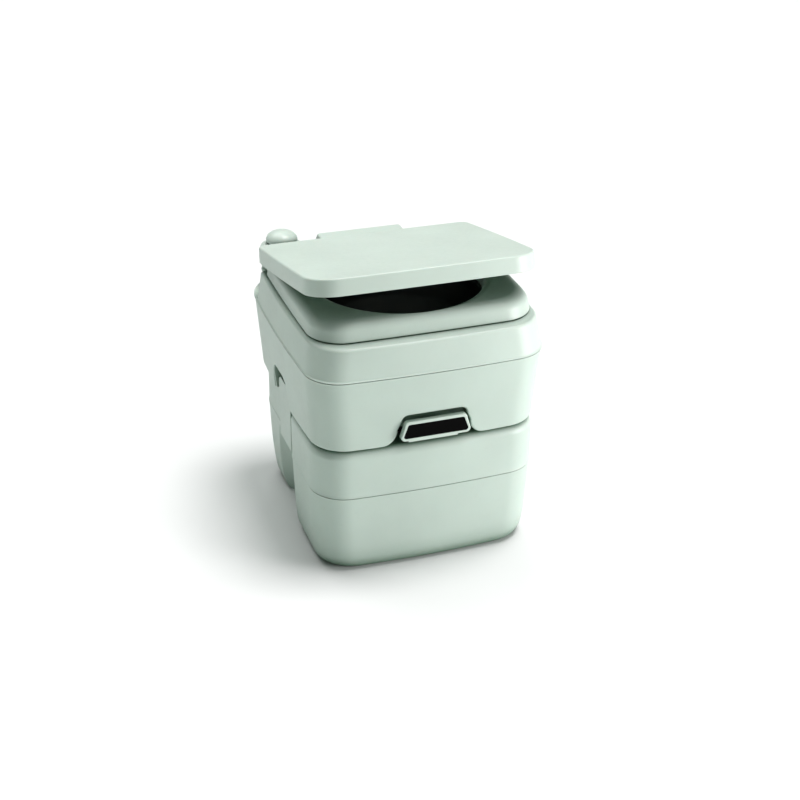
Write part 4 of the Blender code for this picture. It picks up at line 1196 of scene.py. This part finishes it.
def make_spout_cap():
    """Cap of the pouring neck: fluted rim, dished face and grip bar."""
    face = HOLD_BACK_Y
    profile = [
        (0.0, face + 0.0184),
        (0.0200, face + 0.0184),
        (0.0216, face + 0.0190),
        (0.0240, face + 0.0190),
        (0.0262, face + 0.0184),
        (0.0272, face + 0.0172),
        (0.0275, face + 0.0158),
        (0.0275, face + 0.0036),
        (0.0270, face + 0.0030),
        (0.0235, face + 0.0030),
        (0.0235, face + 0.0145),
        (0.0, face + 0.0145),
    ]
    band = (face + 0.0029, face + 0.0175)
    cap = ribbed_rim(profile, (0.0, 0.0), 0.0270, 0.0009, 32, band)
    cap.data.transform(Matrix.Translation((SPOUT_X, 0.0, SPOUT_Z)) @ Matrix.Rotation(-math.pi / 2, 4, "X"))
    low = (SPOUT_X - 0.0200, face + 0.0178, SPOUT_Z - 0.0032)
    high = (SPOUT_X + 0.0200, face + 0.0235, SPOUT_Z + 0.0032)
    cap = carve(cap, grip_bar(low, high, "XZ", 0.0012), "UNION")
    return present(cap, "spout_cap_skin", "plate", "spout_cap", "spout_cap")


# --- CAD nodes that stay ----------------------------------------------


def dress_cad_nodes():
    """Give the CAD nodes that stay their slot's material and soft edges."""
    slots = {row["node"]: row["material_slot"] for row in frame["record"]["subparts"]}
    for name, node in frame["nodes"].items():
        if node.hide_render:
            continue
        node.data.materials.clear()
        node.data.materials.append(MATERIALS[slots[name]])
        soften(node, 0.00035, 2, 50)


# --- Floor, light and camera ------------------------------------------


def make_stage():
    """Plain pale floor, wide enough to fill the view."""
    bm = bmesh.new()
    bmesh.ops.create_grid(bm, x_segments=2, y_segments=2, size=12.0)
    floor = add_bmesh("floor", bm)
    nodes = Nodes("pale_floor")
    shade = nodes.mix(nodes.noise(nodes.place(), 3.0), (0.635, 0.675, 0.660), (0.655, 0.695, 0.680))
    inputs = {"Base Color": shade, "Roughness": 0.9, "Specular IOR Level": 0.1}
    nodes.output(nodes.add("ShaderNodeBsdfPrincipled", inputs))
    floor.data.materials.append(nodes.material)


def add_light(name, kind, energy, colour, turn, place=(0.0, 0.0, 0.0)):
    """Light that shines from the direction of turn, seen from the object."""
    data = bpy.data.lights.new(name, kind)
    data.energy = energy
    data.color = colour
    lamp = bpy.data.objects.new(name, data)
    lamp.location = place
    lamp.rotation_euler = Vector(turn).to_track_quat("Z", "Y").to_euler()
    bpy.context.scene.collection.objects.link(lamp)
    return data


def add_sun(name, towards, strength, spread, colour=(1.0, 1.0, 1.0)):
    """Soft far light. towards points from the object to the light."""
    add_light(name, "SUN", strength, colour, towards).angle = math.radians(spread)


def add_panel(name, place, power, size, colour):
    """Square soft box that points at the middle of the object."""
    turn = Vector(place) - Vector((0.0, 0.0, 0.2))
    add_light(name, "AREA", power, colour, turn, place).size = size


def make_lights():
    """Two soft suns from above, a faint one at the left, a soft box and pale surroundings."""
    world = bpy.data.worlds.new("studio")
    world.use_nodes = True
    background = world.node_tree.nodes["Background"]
    background.inputs["Color"].default_value = (0.90, 1.0, 0.93, 1.0)
    background.inputs["Strength"].default_value = 0.19
    bpy.context.scene.world = world
    add_sun("key", (0.24, 0.00, 0.90), 3.0, 24, (1.0, 0.93, 0.955))
    add_sun("back", (-0.10, 0.48, 0.86), 1.7, 40, (1.0, 0.955, 0.97))
    add_panel("soft_box", (1.22, -1.06, 0.40), 22.0, 0.6, (1.0, 0.925, 0.95))
    add_sun("fill", (-0.95, 0.30, 0.10), 0.08, 60)
    bpy.context.scene.view_settings.view_transform = "Standard"


CAMERA_AZIMUTH = math.radians(-19.13)
CAMERA_ELEVATION = math.radians(27.85)
CAMERA_ROLL = math.radians(0.465)
CAMERA_PLACE = (-0.6427, -1.8964, 1.2228)


def make_camera():
    """Camera above and to the left of the front."""
    data = bpy.data.cameras.new("camera")
    data.sensor_width = 36.0
    data.lens = 68.57
    camera = bpy.data.objects.new("camera", data)
    place = Matrix.Translation(CAMERA_PLACE) @ Matrix.Rotation(CAMERA_AZIMUTH, 4, "Z")
    tilt = Matrix.Rotation(math.pi / 2 - CAMERA_ELEVATION, 4, "X")
    camera.matrix_world = place @ tilt @ Matrix.Rotation(CAMERA_ROLL, 4, "Z")
    bpy.context.scene.collection.objects.link(camera)
    bpy.context.scene.camera = camera


def build():
    """Make the camera, lights and floor, then every piece."""
    make_camera()
    make_lights()
    make_stage()
    make_flush_top()
    make_flush_base()
    make_bowl()
    make_seat()
    make_lid()
    make_bellows()
    make_knob()
    make_pump_base()
    make_filler_cap()
    make_hinge_cover()
    make_hold_top()
    make_hold_base()
    make_handle()
    make_handle_plate()
    make_latch(-1, "left")
    make_latch(1, "right")
    make_spout_cap()
    dress_cad_nodes()


build()
